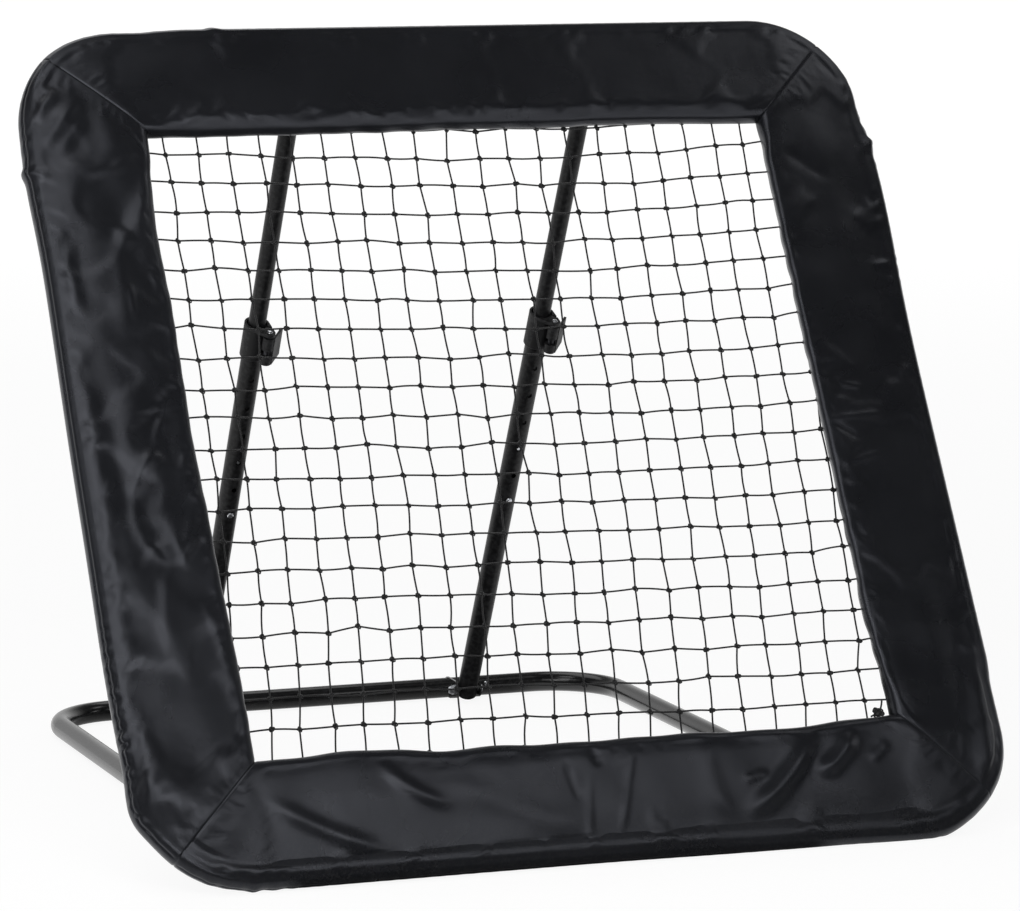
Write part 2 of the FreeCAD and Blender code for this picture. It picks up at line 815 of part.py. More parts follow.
COLLAR_TOP = size("leg_lower_length") + size("collar_rise")
COLLAR_FOOT = COLLAR_TOP - size("collar_height")
COLLAR_BORE = LOWER_R + RUN
COLLAR_R = COLLAR_BORE + size("collar_wall")
PIN_X = size("clamp_pin_out")
PIN_Y = -size("clamp_pin_front")
PIN_R = size("clamp_pin_diameter") / 2
JAW_Z = COLLAR_FOOT + size("jaw_middle")
LEVER_TOP = COLLAR_TOP - size("clamp_eye_plate") - size("lever_top_gap")
LEVER_FOOT = LEVER_TOP - size("lever_height")


def clamp_frame(side):
    """The leg's frame turned about the leg, so that the clamp faces the front and the right."""
    turn = FreeCAD.Rotation(V(0, 0, 1), -number(size("clamp_turn_degrees")))
    return turned_placement(leg_frame(side), (0, 0, 0), turn)


def build_collar(side):
    """A split collar with two clamping jaws and, at its rim, an eye for the lever's pin."""
    name = side_name(side)
    chamfer = size("collar_chamfer")
    edge = COLLAR_R - chamfer
    points = [(COLLAR_BORE, COLLAR_FOOT), (edge, COLLAR_FOOT), (COLLAR_R, COLLAR_FOOT + chamfer)]
    points += [(COLLAR_R, COLLAR_TOP), (COLLAR_BORE, COLLAR_TOP)]
    ring = turned(f"collar_ring_{name}", points)
    thick = size("jaw_thickness")
    half_slot = size("collar_slot") / 2
    tall = size("jaw_height")
    long = size("jaw_reach") - COLLAR_BORE
    foot = JAW_Z - tall / 2
    near = box(f"jaw_near_{name}", long, thick, tall, (COLLAR_BORE, -half_slot - thick, foot))
    far = box(f"jaw_far_{name}", long, thick, tall, (COLLAR_BORE, half_slot, foot))
    eye_foot = number(COLLAR_TOP - size("clamp_eye_plate"))
    eye = shaped(f"collar_eye_{name}", eye_plate(eye_foot))
    bore = cylinder(f"collar_bore_{name}", COLLAR_BORE, size("collar_height"), (0, 0, COLLAR_FOOT))
    slot = box(
        f"collar_slot_{name}",
        size("jaw_reach"),
        size("collar_slot"),
        size("collar_height"),
        (0, -half_slot, COLLAR_FOOT),
    )
    tall_hole = size("collar_height")
    pin = cylinder(f"collar_pin_hole_{name}", PIN_R + RUN / 2, tall_hole, (PIN_X, PIN_Y, COLLAR_FOOT))
    bolt_r = size("eye_bolt_diameter") / 2 + RUN / 2
    bolt = cylinder(f"collar_bolt_hole_{name}", bolt_r, tall_hole, (PIN_X, PIN_Y, JAW_Z), "+y")
    blank = fused(f"collar_blank_{name}", [ring, near, far, eye])
    collar = cut(f"collar_{name}", blank, [bore, slot, pin, bolt])
    node(f"clamp_collar_{name}", collar, clamp_frame(side))


def eye_plate(foot):
    """The flat tongue at the collar's rim, a belt round the collar and the pin's eye."""
    eye = size("clamp_eye_radius")
    face = belt_face(0, 0, number(COLLAR_R), number(PIN_X), number(PIN_Y), number(eye))
    face.translate(V(0, 0, foot))
    return face.extrude(V(0, 0, number(size("clamp_eye_plate"))))


def build_clamp_pin(side):
    name = side_name(side)
    rise = size("clamp_pin_head_height")
    head = size("clamp_pin_head_diameter") / 2
    low = LEVER_FOOT - RUN
    points = [(0, low - rise), (head, low - rise), (head, low), (PIN_R, low), (PIN_R, COLLAR_TOP)]
    pin = turned(f"clamp_pin_body_{name}", points + crown(head, COLLAR_TOP, rise))
    put(pin, (PIN_X, PIN_Y, 0))
    node(f"clamp_pin_{name}", group(f"clamp_pin_{name}", [pin]), clamp_frame(side))


def build_eye_bolt(side):
    """The bolt that draws the jaws together, hooked on the lever's pin by its eye."""
    name = side_name(side)
    tall = size("eye_bolt_ring_height")
    ring_r = PIN_R + size("eye_bolt_ring_wall")
    ring = cylinder(f"eye_ring_{name}", ring_r, tall, (PIN_X, PIN_Y, JAW_Z - tall / 2))
    reach = size("clamp_pin_front") + size("collar_slot") / 2 + size("jaw_thickness")
    shank = cylinder(f"eye_shank_{name}", size("eye_bolt_diameter") / 2, reach, (PIN_X, PIN_Y, JAW_Z), "+y")
    bore = cylinder(f"eye_bore_{name}", PIN_R + RUN / 2, tall, (PIN_X, PIN_Y, JAW_Z - tall / 2))
    blank = fused(f"eye_blank_{name}", [ring, shank])
    node(f"clamp_eye_bolt_{name}", cut(f"eye_bolt_{name}", blank, [bore]), clamp_frame(side))


def build_lever(side):
    """A cam lever with two knuckles on the pin and a handle plate that covers the jaws."""
    name = side_name(side)
    knuckle = size("clamp_eye_radius")
    window = size("lever_window")
    low = JAW_Z - window / 2 - LEVER_FOOT
    high = LEVER_TOP - JAW_Z - window / 2
    lower = cylinder(f"knuckle_low_{name}", knuckle, low, (PIN_X, PIN_Y, LEVER_FOOT))
    upper = cylinder(f"knuckle_high_{name}", knuckle, high, (PIN_X, PIN_Y, LEVER_TOP - high))
    face_x = size("jaw_reach") + size("lever_face_gap")
    handle = box(
        f"lever_handle_{name}",
        size("lever_plate"),
        size("lever_length"),
        size("lever_height"),
        (face_x, PIN_Y, LEVER_FOOT),
    )
    bore = cylinder(f"lever_bore_{name}", PIN_R + RUN, size("lever_height"), (PIN_X, PIN_Y, LEVER_FOOT))
    blank = fused(f"lever_blank_{name}", [lower, upper, handle])
    node(f"clamp_lever_{name}", cut(f"lever_{name}", blank, [bore]), clamp_frame(side))


def build_upper_tube(side):
    name = side_name(side)
    bottom = LOCK_Z - size("leg_upper_tail")
    top = LEG_LENGTH + size("leg_top_tail")
    wall = turned(f"upper_wall_{name}", tube_outline(bottom, top, UPPER_R, UPPER_BORE))
    reach = UPPER_R + OVERRUN
    pivot = across_hole(f"upper_pivot_hole_{name}", BOLT_R + size("open_pivot_gap"), reach, LEG_LENGTH)
    button = front_hole(f"upper_button_hole_{name}", size("button_diameter") / 2 + RUN, reach, LOCK_Z)
    node(f"leg_upper_tube_{name}", cut(f"upper_tube_{name}", wall, [pivot, button]), leg_frame(side))


def build_leg(side):
    build_lower_tube(side)
    build_foot_cap(side)
    build_bush(side)
    build_stop_rivet(side)
    build_collar(side)
    build_clamp_pin(side)
    build_eye_bolt(side)
    build_lever(side)
    build_upper_tube(side)
    build_leg_button(side)


# Leaning frame, made flat: X across, Y up the frame from the hinge axis, Z to the front

JOINT_IN = size("frame_corner_leg") - size("joint_inset")


def frame_screw_places():
    """Where each joint screw goes: on the back of the tube, just inside each corner tube's ends."""
    places = []
    for side in (-1, 1):
        for y in (0, HEIGHT):
            places.append(((HALF_W - JOINT_IN) * side, y))
        for y in (JOINT_IN, HEIGHT - JOINT_IN):
            places.append((HALF_W * side, y))
    return places


def frame_screw_holes(name, keep):
    holes = []
    for x, y in frame_screw_places():
        if keep(number(x), number(y)):
            holes.append(screw_hole(f"{name}_hole_{len(holes)}", (x, y, 0), "-z", FRAME_R * 2))
    return holes


def build_frame_corner(side, level):
    """A bent corner tube: level -1 is at the hinge, level 1 at the top."""
    name = ("top" if level > 0 else "bottom") + "_" + side_name(side)
    leg = size("frame_corner_leg")
    tube = bent_tube(f"frame_corner_{name}", leg, leg, size("frame_bend_radius"), FRAME_R, FRAME_BORE)
    put(tube, (HALF_W * side, HEIGHT if level > 0 else 0, 0), corner_turn(side, level))
    middle = number(HEIGHT) / 2

    def in_corner(x, y):
        return x * side > 0 and (y - middle) * level > 0

    holes = frame_screw_holes(f"corner_{name}", in_corner)
    node(f"frame_corner_tube_{name}", cut(f"frame_corner_cut_{name}", tube, holes), lean_frame())


def build_frame_straights():
    """The four straight tubes, with swaged ends inside the corner tubes."""
    half_across = HALF_W - size("frame_corner_leg")
    half_up = HEIGHT / 2 - size("frame_corner_leg")
    top = number(HEIGHT)
    spans = (
        ("bottom", half_across, (0, 0, 0), "+x", lambda x, y: y < NEAR),
        ("top", half_across, (0, HEIGHT, 0), "+x", lambda x, y: y > top - NEAR),
        ("left", half_up, (-HALF_W, HEIGHT / 2, 0), "+y", lambda x, y: x < 0 and NEAR < y < top - NEAR),
        ("right", half_up, (HALF_W, HEIGHT / 2, 0), "+y", lambda x, y: x > 0 and NEAR < y < top - NEAR),
    )
    for name, half, at, along, keep in spans:
        wall = turned(f"frame_{name}_wall", tube_outline(-half, half, FRAME_R, FRAME_BORE, True, True))
        put(wall, at, along)
        holes = frame_screw_holes(f"straight_{name}", keep)
        node(f"frame_{name}_tube", cut(f"frame_{name}", wall, holes), lean_frame())


def build_frame_screws():
    screws = []
    for x, y in frame_screw_places():
        piece = screw(f"frame_screw_{len(screws)}", FRAME_R, FRAME_BORE)
        screws.append(put(piece, (x, y, 0), "-z"))
    node("frame_joint_screws", group("frame_screws", screws), lean_frame())


def build_hanger(side):
    """Two welded ears that hang from the top tube to the leg's top pivot."""
    name = side_name(side)
    inside = UPPER_R + size("ear_side_gap")
    rim = FRAME_R + size("ear_rim")
    ears = ear_pair(LEG_X * side, inside, (HEIGHT, 0, rim), (HANGER_S, HANGER_N, size("hanger_ear_radius")))
    span = (inside + size("ear_thickness")) * 2
    x = LEG_X * side - span / 2
    tube = cylinder(f"hanger_seat_{name}", FRAME_R, span, (x, HEIGHT, 0), "+x")
    pivot = cylinder(f"hanger_hole_{name}", BOLT_R + RUN / 2, span, (x, HANGER_S, HANGER_N), "+x")
    blank = shaped(f"hanger_ears_{name}", ears)
    node(f"top_bracket_{name}", cut(f"hanger_{name}", blank, [tube, pivot]), lean_frame())


def build_hanger_fasteners():
    grip = (UPPER_R + size("ear_side_gap") + size("ear_thickness")) * 2
    centres = [(LEG_X * side, HANGER_S, HANGER_N) for side in (-1, 1)]
    pivot_fasteners("top_pivot_bolts", "top_pivot_nuts", grip, centres, lean_frame())


def build_frame():
    for side in (-1, 1):
        for level in (-1, 1):
            build_frame_corner(side, level)
        build_hanger(side)
    build_frame_straights()
    build_frame_screws()
    build_hanger_fasteners()


# Net and what holds it

INSET = number(size("rope_inset"))
ROPE_R = number(size("rope_diameter")) / 2
ROPE_HALF_W = number(HALF_W) - INSET
ROPE_HALF_H = number(HEIGHT) / 2 - INSET
NET_EDGE = ROPE_R + number(size("net_rope_gap"))
NET_HALF_W = ROPE_HALF_W - NET_EDGE
NET_HALF_H = ROPE_HALF_H - NET_EDGE
NET_GAPS = int(number(size("net_gaps")))
NET_MIDDLE = number(HEIGHT) / 2


def strand_lines(half):
    """Where the strands cross: equal gaps, the last one on each side open to the rope."""
    pitch = 2 * half / (NET_GAPS + 2)
    return [(index - NET_GAPS / 2) * pitch for index in range(NET_GAPS + 1)]


def build_net():
    """One flat sheet with square gaps, whose strands end at the border rope."""
    thick = number(size("net_thickness"))
    half = number(size("net_strand")) / 2
    columns, rows = strand_lines(NET_HALF_W), strand_lines(NET_HALF_H)
    holes = []
    for x1, x2 in zip([-NET_HALF_W * 2] + columns, columns + [NET_HALF_W * 2]):
        for y1, y2 in zip([-NET_HALF_H * 2] + rows, rows + [NET_HALF_H * 2]):
            holes.append(rectangle(x1 + half, y1 + half, x2 - half, y2 - half))
    face = rectangle(-NET_HALF_W, -NET_HALF_H, NET_HALF_W, NET_HALF_H).cut(Part.makeCompound(holes))
    net = face.Faces[0].extrude(V(0, 0, thick))
    net.translate(V(0, NET_MIDDLE, -thick / 2))
    node("net", shaped("net", net), lean_frame())


def rectangle(x1, y1, x2, y2):
    corners = [V(x1, y1, 0), V(x2, y1, 0), V(x2, y2, 0), V(x1, y2, 0)]
    return Part.Face(Part.makePolygon(corners + corners[:1]))


def build_net_rope():
    """The rope round the net's edge: straight runs and quarter turns, from the middle of the bottom."""
    radius = number(size("rope_corner_radius"))
    start = V(0, NET_MIDDLE - ROPE_HALF_H, 0)
    edges = []
    reached = start
    for index, (cx, cy) in enumerate([(1, -1), (1, 1), (-1, 1), (-1, -1)]):
        centre = V(cx * (ROPE_HALF_W - radius), NET_MIDDLE + cy * (ROPE_HALF_H - radius), 0)
        angles = [math.radians(90 * index + step) for step in (-90, -45, 0)]
        rim = [centre + V(math.cos(angle), math.sin(angle), 0) * radius for angle in angles]
        edges += [Part.LineSegment(reached, rim[0]).toShape(), Part.Arc(*rim).toShape()]
        reached = rim[2]
    edges.append(Part.LineSegment(reached, start).toShape())
    profile = Part.Wire([Part.Circle(start, V(1, 0, 0), ROPE_R).toShape()])
    rope = Part.Wire(edges).makePipeShell([profile], True, False)
    node("net_rope", shaped("net_rope", rope), lean_frame())


def loop_solid():
    """One elastic loop round the frame tube and the rope, with the tube's centre at the origin."""
    cord = number(size("loop_cord")) / 2
    clear = number(size("loop_gap")) + cord
    path = belt_face(0, 0, number(FRAME_R) + clear, INSET, 0, ROPE_R + clear).OuterWire
    start = path.Edges[0].Vertexes[0].Point
    tangent = path.Edges[0].tangentAt(path.Edges[0].FirstParameter)
    profile = Part.Wire([Part.Circle(start, tangent, cord).toShape()])
    loop = path.makePipeShell([profile], True, False)
    loop.Placement = FreeCAD.Placement(V(0, 0, 0), UPRIGHT)
    return loop


def frame_sides():
    """Each side's middle, its turn about the frame's face and its half length."""
    half_h = HEIGHT / 2
    return (
        ("bottom", (0, 0), 0, HALF_W),
        ("right", (HALF_W, half_h), 90, half_h),
        ("top", (0, HEIGHT), 180, HALF_W),
        ("left", (-HALF_W, half_h), 270, half_h),
    )


def side_placement(middle, turn):
    at = V(number(middle[0]), number(middle[1]), 0)
    return FreeCAD.Placement(at, FreeCAD.Rotation(V(0, 0, 1), turn))


def build_loops():
    """Loops on each side, one in the middle of every second gap of the net."""
    count = int(number(size("loop_count")))
    loops = []
    for _, middle, turn, half in frame_sides():
        pitch = 4 * (number(half) - INSET - NET_EDGE) / (NET_GAPS + 2)
        for index in range(count):
            along = V((index - (count - 1) / 2) * pitch, 0, 0)
            stand = FreeCAD.Placement(along, FreeCAD.Rotation())
            loop = loop_solid()
            loop.Placement = side_placement(middle, turn).multiply(stand).multiply(loop.Placement)
            loops.append(loop)
    node("net_loops", shaped("net_loops", Part.makeCompound(loops)), lean_frame())


def build_tie():
    """The knot that ties the net at its lower right crossing, resting on the net's front."""
    radius = number(size("tie_diameter")) / 2
    front = number(size("net_thickness")) / 2
    ball = Part.makeSphere(radius, V(0, 0, 0), V(0, 0, 1), 0, 90, 360)
    ball.translate(V(strand_lines(NET_HALF_W)[-1], NET_MIDDLE + strand_lines(NET_HALF_H)[0], front))
    node("net_tie", shaped("net_tie", ball), lean_frame())


def build_netting():
    build_net()
    build_net_rope()
    build_loops()
    build_tie()


# Padded cover: each side is a strip with mitred ends, rounded with the frame's corners


def line(a, b):
    return Part.LineSegment(V(0, *a), V(0, *b)).toShape()


def bow(a, b, c):
    return Part.Arc(V(0, *a), V(0, *b), V(0, *c)).toShape()


def cover_section():
    """The cover across one side: padded front, wrap round the tube and flap behind."""
    radius, cavity = number(COVER_R), number(CAVITY_R)
    reach = number(size("pad_reach"))
    top, bottom = number(size("pad_edge_top")), number(size("pad_edge_bottom"))
    depth = number(size("pad_nose_depth"))
    root, root_height = number(size("pad_root")), number(size("pad_root_height"))
    flap = number(size("flap_reach"))
    edge_top, edge_bottom = (reach - number(size("pad_nose_round")), top), (reach - depth, bottom)
    return Part.Face(
        Part.Wire(
            [
                line((0, cavity), (root, root_height)),
                line((root, root_height), (root + depth, bottom)),
                line((root + depth, bottom), edge_bottom),
                bow(edge_bottom, (reach, (top + bottom) / 2), edge_top),
                bow(edge_top, (reach / 2, number(size("pad_crown"))), (0, radius)),
                bow((0, radius), (-radius, 0), (0, -radius)),
                line((0, -radius), (flap, -radius)),
                line((flap, -radius), (flap, -cavity)),
                line((flap, -cavity), (0, -cavity)),
                bow((0, -cavity), (-cavity, 0), (0, cavity)),
            ]
        )
    )


def foam_section(inset):
    """The foam strip inside the padded front, drawn in from the cloth by inset."""
    reach = number(size("pad_reach"))
    top, bottom = number(size("pad_edge_top")) - inset, number(size("pad_edge_bottom")) + inset
    depth = number(size("pad_nose_depth"))
    root, root_height = number(size("pad_root")), number(size("pad_root_height"))
    start = number(size("foam_start")) + inset
    slope = (number(CAVITY_R) - root_height) / root
    start_bottom = number(CAVITY_R) - slope * start + inset
    rise = number(size("pad_crown")) - number(COVER_R)
    start_top = number(COVER_R) + rise * start / (reach / 2) - inset
    points = [
        (start, start_bottom),
        (root, root_height + inset),
        (root + depth, bottom),
        (reach - depth, bottom),
        (reach - inset - number(size("foam_nose_gap")), (top + bottom) / 2),
        (reach - depth, top - number(size("foam_edge_drop"))),
        (reach / 2, number(size("pad_crown")) - inset - number(size("foam_crown_drop"))),
        (start, start_top),
    ]
    return Part.Face(Part.makePolygon([V(0, *p) for p in points + points[:1]]))


def mitred_strip(section, half):
    """Runs a section along X and turns its outer part round the corners, up to the mitres."""
    bend = number(size("frame_bend_radius"))
    half = number(half)
    run = half - bend
    tall = number(COVER_R) * 4
    straight = section.copy()
    straight.translate(V(-run, 0, 0))
    straight = straight.extrude(V(2 * run, 0, 0))
    wedge_points = [V(-half - bend, -bend, -tall), V(half + bend, -bend, -tall), V(0, half, -tall)]
    wedge = Part.Face(Part.makePolygon(wedge_points + wedge_points[:1])).extrude(V(0, 0, 2 * tall))
    strip = straight.common(wedge)
    window = Part.Face(
        Part.makePolygon(
            [V(0, -bend, -tall), V(0, bend, -tall), V(0, bend, tall), V(0, -bend, tall), V(0, -bend, -tall)]
        )
    )
    outer = section.common(window).Faces[0]
    for hand in (-1, 1):
        corner = outer.copy()
        corner.translate(V(hand * run, 0, 0))
        turned_part = corner.revolve(V(hand * run, bend, 0), V(0, 0, 1), 45 * hand)
        strip = strip.fuse(turned_part)
    return strip.removeSplitter()


def cover_notches(name):
    """Where the cover is cut open behind the tube for the hanger ears or the hinge sleeves."""
    deep = number(COVER_R) * 2
    gap = number(size("flap_notch_gap"))
    if name == "top":
        half = number(UPPER_R + size("ear_side_gap") + size("ear_thickness")) + gap
        centres = number(LEG_X)
    elif name == "bottom":
        half = number(size("hinge_sleeve_length")) / 2 + gap
        centres = number(SIDE_X)
    else:
        return []
    reach = number(size("flap_reach")) + number(COVER_R) + 2 * gap
    start = V(-half, -number(COVER_R) - gap, -deep - number(size("flap_notch_front")))
    cuts = []
    for side in (-1, 1):
        notch = Part.makeBox(2 * half, reach, deep, start)
        notch.translate(V(side * centres, 0, 0))
        cuts.append(notch)
    return cuts


def build_cover():
    gap = number(size("foam_gap"))
    skin = number(size("cover_skin"))
    foams = []
    for name, middle, turn, half in frame_sides():
        strip = mitred_strip(cover_section(), half)
        strip = strip.cut(mitred_strip(foam_section(skin), half))
        for notch in cover_notches(name):
            strip = strip.cut(notch)
        placement = side_placement(middle, turn)
        node(f"cover_{name}", shaped(f"cover_{name}", strip), lean_frame().multiply(placement))
        foam = mitred_strip(foam_section(skin + gap), half)
        foam.Placement = placement
        foams.append(foam)
    node("foam_pads", shaped("foam_pads", Part.makeCompound(foams)), lean_frame())


def build_elastic():
    """Flat elastic sewn along the inside of the flap, broken where the cover is notched."""
    width = number(size("elastic_width"))
    thick = number(size("elastic_thickness"))
    low = -number(CAVITY_R)
    edge = number(size("flap_reach")) - width - number(size("elastic_inset"))
    strips = []
    for name, middle, turn, half in frame_sides():
        run = number(half) - number(size("frame_bend_radius"))
        band = Part.makeBox(2 * run, width, thick, V(-run, edge, low))
        for notch in cover_notches(name):
            band = band.cut(notch)
        band.Placement = side_placement(middle, turn)
        strips += band.Solids
    node("hem_elastic", shaped("hem_elastic", Part.makeCompound(strips)), lean_frame())


def export():
    """Stops on any failed object, then writes each node to its own file."""
    doc.recompute()
    failed = [thing.Label for thing in doc.Objects if {"Invalid", "Error"} & set(thing.State)]
    failed += [piece.Label for piece in NODES if piece.Shape.isNull() or not piece.Shape.isValid()]
    if failed:
        raise RuntimeError("no valid shape: " + ", ".join(failed))
    os.makedirs("parts", exist_ok=True)
    for piece in NODES:
        piece.Shape.exportStep(f"parts/{piece.Label}.step")
        solids, volume = len(piece.Shape.Solids), piece.Shape.Volume
        print(f"{piece.Label}: {solids} solids, {volume:.0f} mm3, z from {piece.Shape.BoundBox.ZMin:.2f}")


build_base()
for leg_side in (-1, 1):
    build_leg(leg_side)
build_frame()
build_netting()
build_cover()
build_elastic()
export()
print(f"{len(NODES)} nodes, leg {LEG_LENGTH:.1f} mm at {LEG_LEAN:.2f} degrees")
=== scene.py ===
"""Dresses the ball rebounder: padded cover, knotted net, telescopic legs and floor base.

Lengths are in metres unless a field's name says otherwise. The leaning frame has its own
drawing plane: x across, s up the frame from the hinge, n out of its face to the front.
"""

import json
import logging
import math
import random
from dataclasses import dataclass, field
from enum import Enum
from typing import Callable, Dict, Iterable, List, Optional, Sequence, Tuple, Union

import bpy
import numpy as np
from mathutils import Euler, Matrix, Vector

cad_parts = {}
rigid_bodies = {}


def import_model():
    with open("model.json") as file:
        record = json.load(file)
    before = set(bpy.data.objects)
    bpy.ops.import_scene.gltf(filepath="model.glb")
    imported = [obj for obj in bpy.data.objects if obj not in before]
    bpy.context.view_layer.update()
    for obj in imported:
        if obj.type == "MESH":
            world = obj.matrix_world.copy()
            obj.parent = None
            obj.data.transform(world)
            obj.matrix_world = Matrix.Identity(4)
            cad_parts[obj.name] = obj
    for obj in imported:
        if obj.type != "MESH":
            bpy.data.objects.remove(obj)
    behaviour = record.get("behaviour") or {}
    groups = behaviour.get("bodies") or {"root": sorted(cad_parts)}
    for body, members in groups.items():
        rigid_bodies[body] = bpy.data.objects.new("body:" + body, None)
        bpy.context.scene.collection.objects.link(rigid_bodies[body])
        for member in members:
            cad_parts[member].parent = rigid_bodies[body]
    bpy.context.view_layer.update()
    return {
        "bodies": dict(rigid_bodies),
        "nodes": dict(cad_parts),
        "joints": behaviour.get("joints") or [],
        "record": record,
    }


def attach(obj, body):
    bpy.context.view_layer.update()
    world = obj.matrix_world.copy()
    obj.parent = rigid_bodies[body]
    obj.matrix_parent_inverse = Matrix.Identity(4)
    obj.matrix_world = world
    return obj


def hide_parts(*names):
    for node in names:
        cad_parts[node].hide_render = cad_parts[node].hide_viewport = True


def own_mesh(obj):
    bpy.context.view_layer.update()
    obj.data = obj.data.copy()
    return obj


LOG = logging.getLogger("rebounder")
MM = 0.001
FLOOR_CLEAR = 0.0003

Number = Union[float, bpy.types.NodeSocket]
Measure = Union[float, np.ndarray]


class Slot(Enum):
    """The record's material slots of the soft pieces; the solids keep their own."""

    CLOTH = "cover_cloth"
    CORD = "net_cord"
    ELASTIC = "elastic"


class Side(Enum):
    """The four sides of the leaning frame, with their turn in its plane."""

    BOTTOM = 0
    RIGHT = 90
    TOP = 180
    LEFT = 270


class Hand(Enum):
    """Left and right as the object stands, seen from the front."""

    LEFT = "left"
    RIGHT = "right"


# Shared helpers ------------------------------------------------------------------------


@dataclass(frozen=True)
class LeanPlane:
    """The plane of the leaning frame, held by its hinge and its lean."""

    hinge_y: float = -0.5447
    hinge_z: float = 0.0211
    lean_degrees: float = 58.5
    half_width: float = 0.5875
    height: float = 1.175

    def world(self, points: np.ndarray) -> np.ndarray:
        """Turns points of the frame's plane into points of the object.

        Args:
            points: rows of x, s and n in metres.

        Returns:
            Rows of X, Y and Z in metres.
        """
        lean = math.radians(self.lean_degrees)
        x, s, n = points[..., 0], points[..., 1], points[..., 2]
        y = self.hinge_y + s * math.cos(lean) - n * math.sin(lean)
        z = self.hinge_z + s * math.sin(lean) + n * math.cos(lean)
        return np.stack([x, y, z], axis=-1)

    def half(self, side: Side) -> float:
        """Half a side's length between the frame's corners, in mm."""
        return 1000 * (self.half_width if side in (Side.BOTTOM, Side.TOP) else self.height / 2)

    def on_side(self, side: Side, w: Measure, u: Measure) -> Tuple[Measure, Measure]:
        """Where something of a side lies on the plane.

        Args:
            side: the side of the frame.
            w: how far along the side, from its middle, in mm.
            u: how far in from the side's tube, in mm.

        Returns:
            Its x and s in mm.
        """
        turn = math.radians(side.value)
        half_x, height = 1000 * self.half_width, 1000 * self.height
        middle_x, middle_s = {
            Side.BOTTOM: (0.0, 0.0),
            Side.RIGHT: (half_x, height / 2),
            Side.TOP: (0.0, height),
            Side.LEFT: (-half_x, height / 2),
        }[side]
        x = middle_x + w * math.cos(turn) - u * math.sin(turn)
        s = middle_s + w * math.sin(turn) + u * math.cos(turn)
        return x, s


@dataclass
class MeshParts:
    """Gathers vertices, faces and cord coordinates of many small parts into one mesh."""

    verts: List[np.ndarray] = field(default_factory=list)
    faces: List[Tuple[int, ...]] = field(default_factory=list)
    lays: List[np.ndarray] = field(default_factory=list)
    count: int = 0

    def add(
        self, verts: np.ndarray, faces: Iterable[Sequence[int]], lay: Optional[np.ndarray] = None
    ) -> None:
        """Adds one part.

        Args:
            verts: its points, one a row.
            faces: its faces, as indices into those points.
            lay: for each point, how far along and how far round the cord it lies.
        """
        self.faces.extend(tuple(self.count + i for i in face) for face in faces)
        self.verts.append(np.asarray(verts, float))
        self.lays.append(np.zeros((len(verts), 2)) if lay is None else lay)
        self.count += len(verts)

    def tube(self, path: np.ndarray, radius: float, sides: int = 8, closed: bool = False) -> None:
        """Adds a round cord along a path.

        Args:
            path: the points that the cord's middle follows.
            radius: the cord's radius.
            sides: how many faces go round it.
            closed: whether the cord's end meets its start.
        """
        path = np.asarray(path, float)
        total = len(path)
        if closed:
            ahead, behind = np.roll(path, -1, axis=0), np.roll(path, 1, axis=0)
        else:
            ahead = np.vstack([path[1:], path[-1:]])
            behind = np.vstack([path[:1], path[:-1]])
        tangents = ahead - behind
        tangents /= np.maximum(np.linalg.norm(tangents, axis=1), 1e-9)[:, None]
        start = (0.0, 0.0, 1.0) if abs(tangents[0][2]) < 0.8 else (1.0, 0.0, 0.0)
        side = np.cross(tangents[0], start)
        side /= np.linalg.norm(side)
        sides_x = np.empty_like(path)
        for index in range(total):
            side = side - tangents[index] * np.dot(side, tangents[index])
            side /= max(np.linalg.norm(side), 1e-9)
            sides_x[index] = side
        sides_y = np.cross(tangents, sides_x)
        if closed:
            drift = math.atan2(np.dot(sides_x[-1], sides_y[0]), np.dot(sides_x[-1], sides_x[0]))
            turns = np.linspace(0, -drift, total)[:, None]
            sides_x, sides_y = (
                sides_x * np.cos(turns) + sides_y * np.sin(turns),
                sides_y * np.cos(turns) - sides_x * np.sin(turns),
            )
        angles = np.linspace(0, 2 * math.pi, sides, endpoint=False)[None, :, None]
        ring = (
            path[:, None, :]
            + sides_x[:, None, :] * (np.cos(angles) * radius)
            + sides_y[:, None, :] * (np.sin(angles) * radius)
        )
        run = np.concatenate([[0.0], np.cumsum(np.linalg.norm(np.diff(path, axis=0), axis=1))])
        lay = np.stack(np.broadcast_arrays(run[:, None], np.arange(sides)[None, :] / sides), axis=-1)
        faces = []
        for index in range(total if closed else total - 1):
            here, there = index * sides, ((index + 1) % total) * sides
            for k in range(sides):
                nxt = (k + 1) % sides
                faces.append((here + k, here + nxt, there + nxt, there + k))
        if not closed:
            faces.append(tuple(reversed(range(sides))))
            faces.append(tuple((total - 1) * sides + k for k in range(sides)))
        self.add(ring.reshape(-1, 3), faces, lay.reshape(-1, 2))

    def build(self, name: str, material: bpy.types.Material) -> bpy.types.Object:
        """Makes the gathered parts into one smooth object.

        Args:
            name: the piece's name.
            material: what it is finished with.

        Returns:
            The new object, at the origin.
        """
        mesh = bpy.data.meshes.new(name)
        mesh.from_pydata(np.vstack(self.verts).tolist(), [], self.faces)
        layer = mesh.uv_layers.new(name="lay")
        lays = np.vstack(self.lays)
        corner = np.empty(len(mesh.loops), np.int32)
        mesh.loops.foreach_get("vertex_index", corner)
        layer.data.foreach_set("uv", lays[corner].astype(np.float32).ravel())
        return finish_mesh(name, mesh, material)


def finish_mesh(name: str, mesh: bpy.types.Mesh, material: bpy.types.Material) -> bpy.types.Object:
    """Shades a mesh smoothly and puts it in the scene.

    Args:
        name: the piece's name.
        mesh: its mesh, already in place.
        material: what it is finished with.

    Returns:
        The new object.
    """
    mesh.polygons.foreach_set("use_smooth", [True] * len(mesh.polygons))
    mesh.materials.append(material)
    mesh.update()
    piece = bpy.data.objects.new(name, mesh)
    bpy.context.scene.collection.objects.link(piece)
    return piece


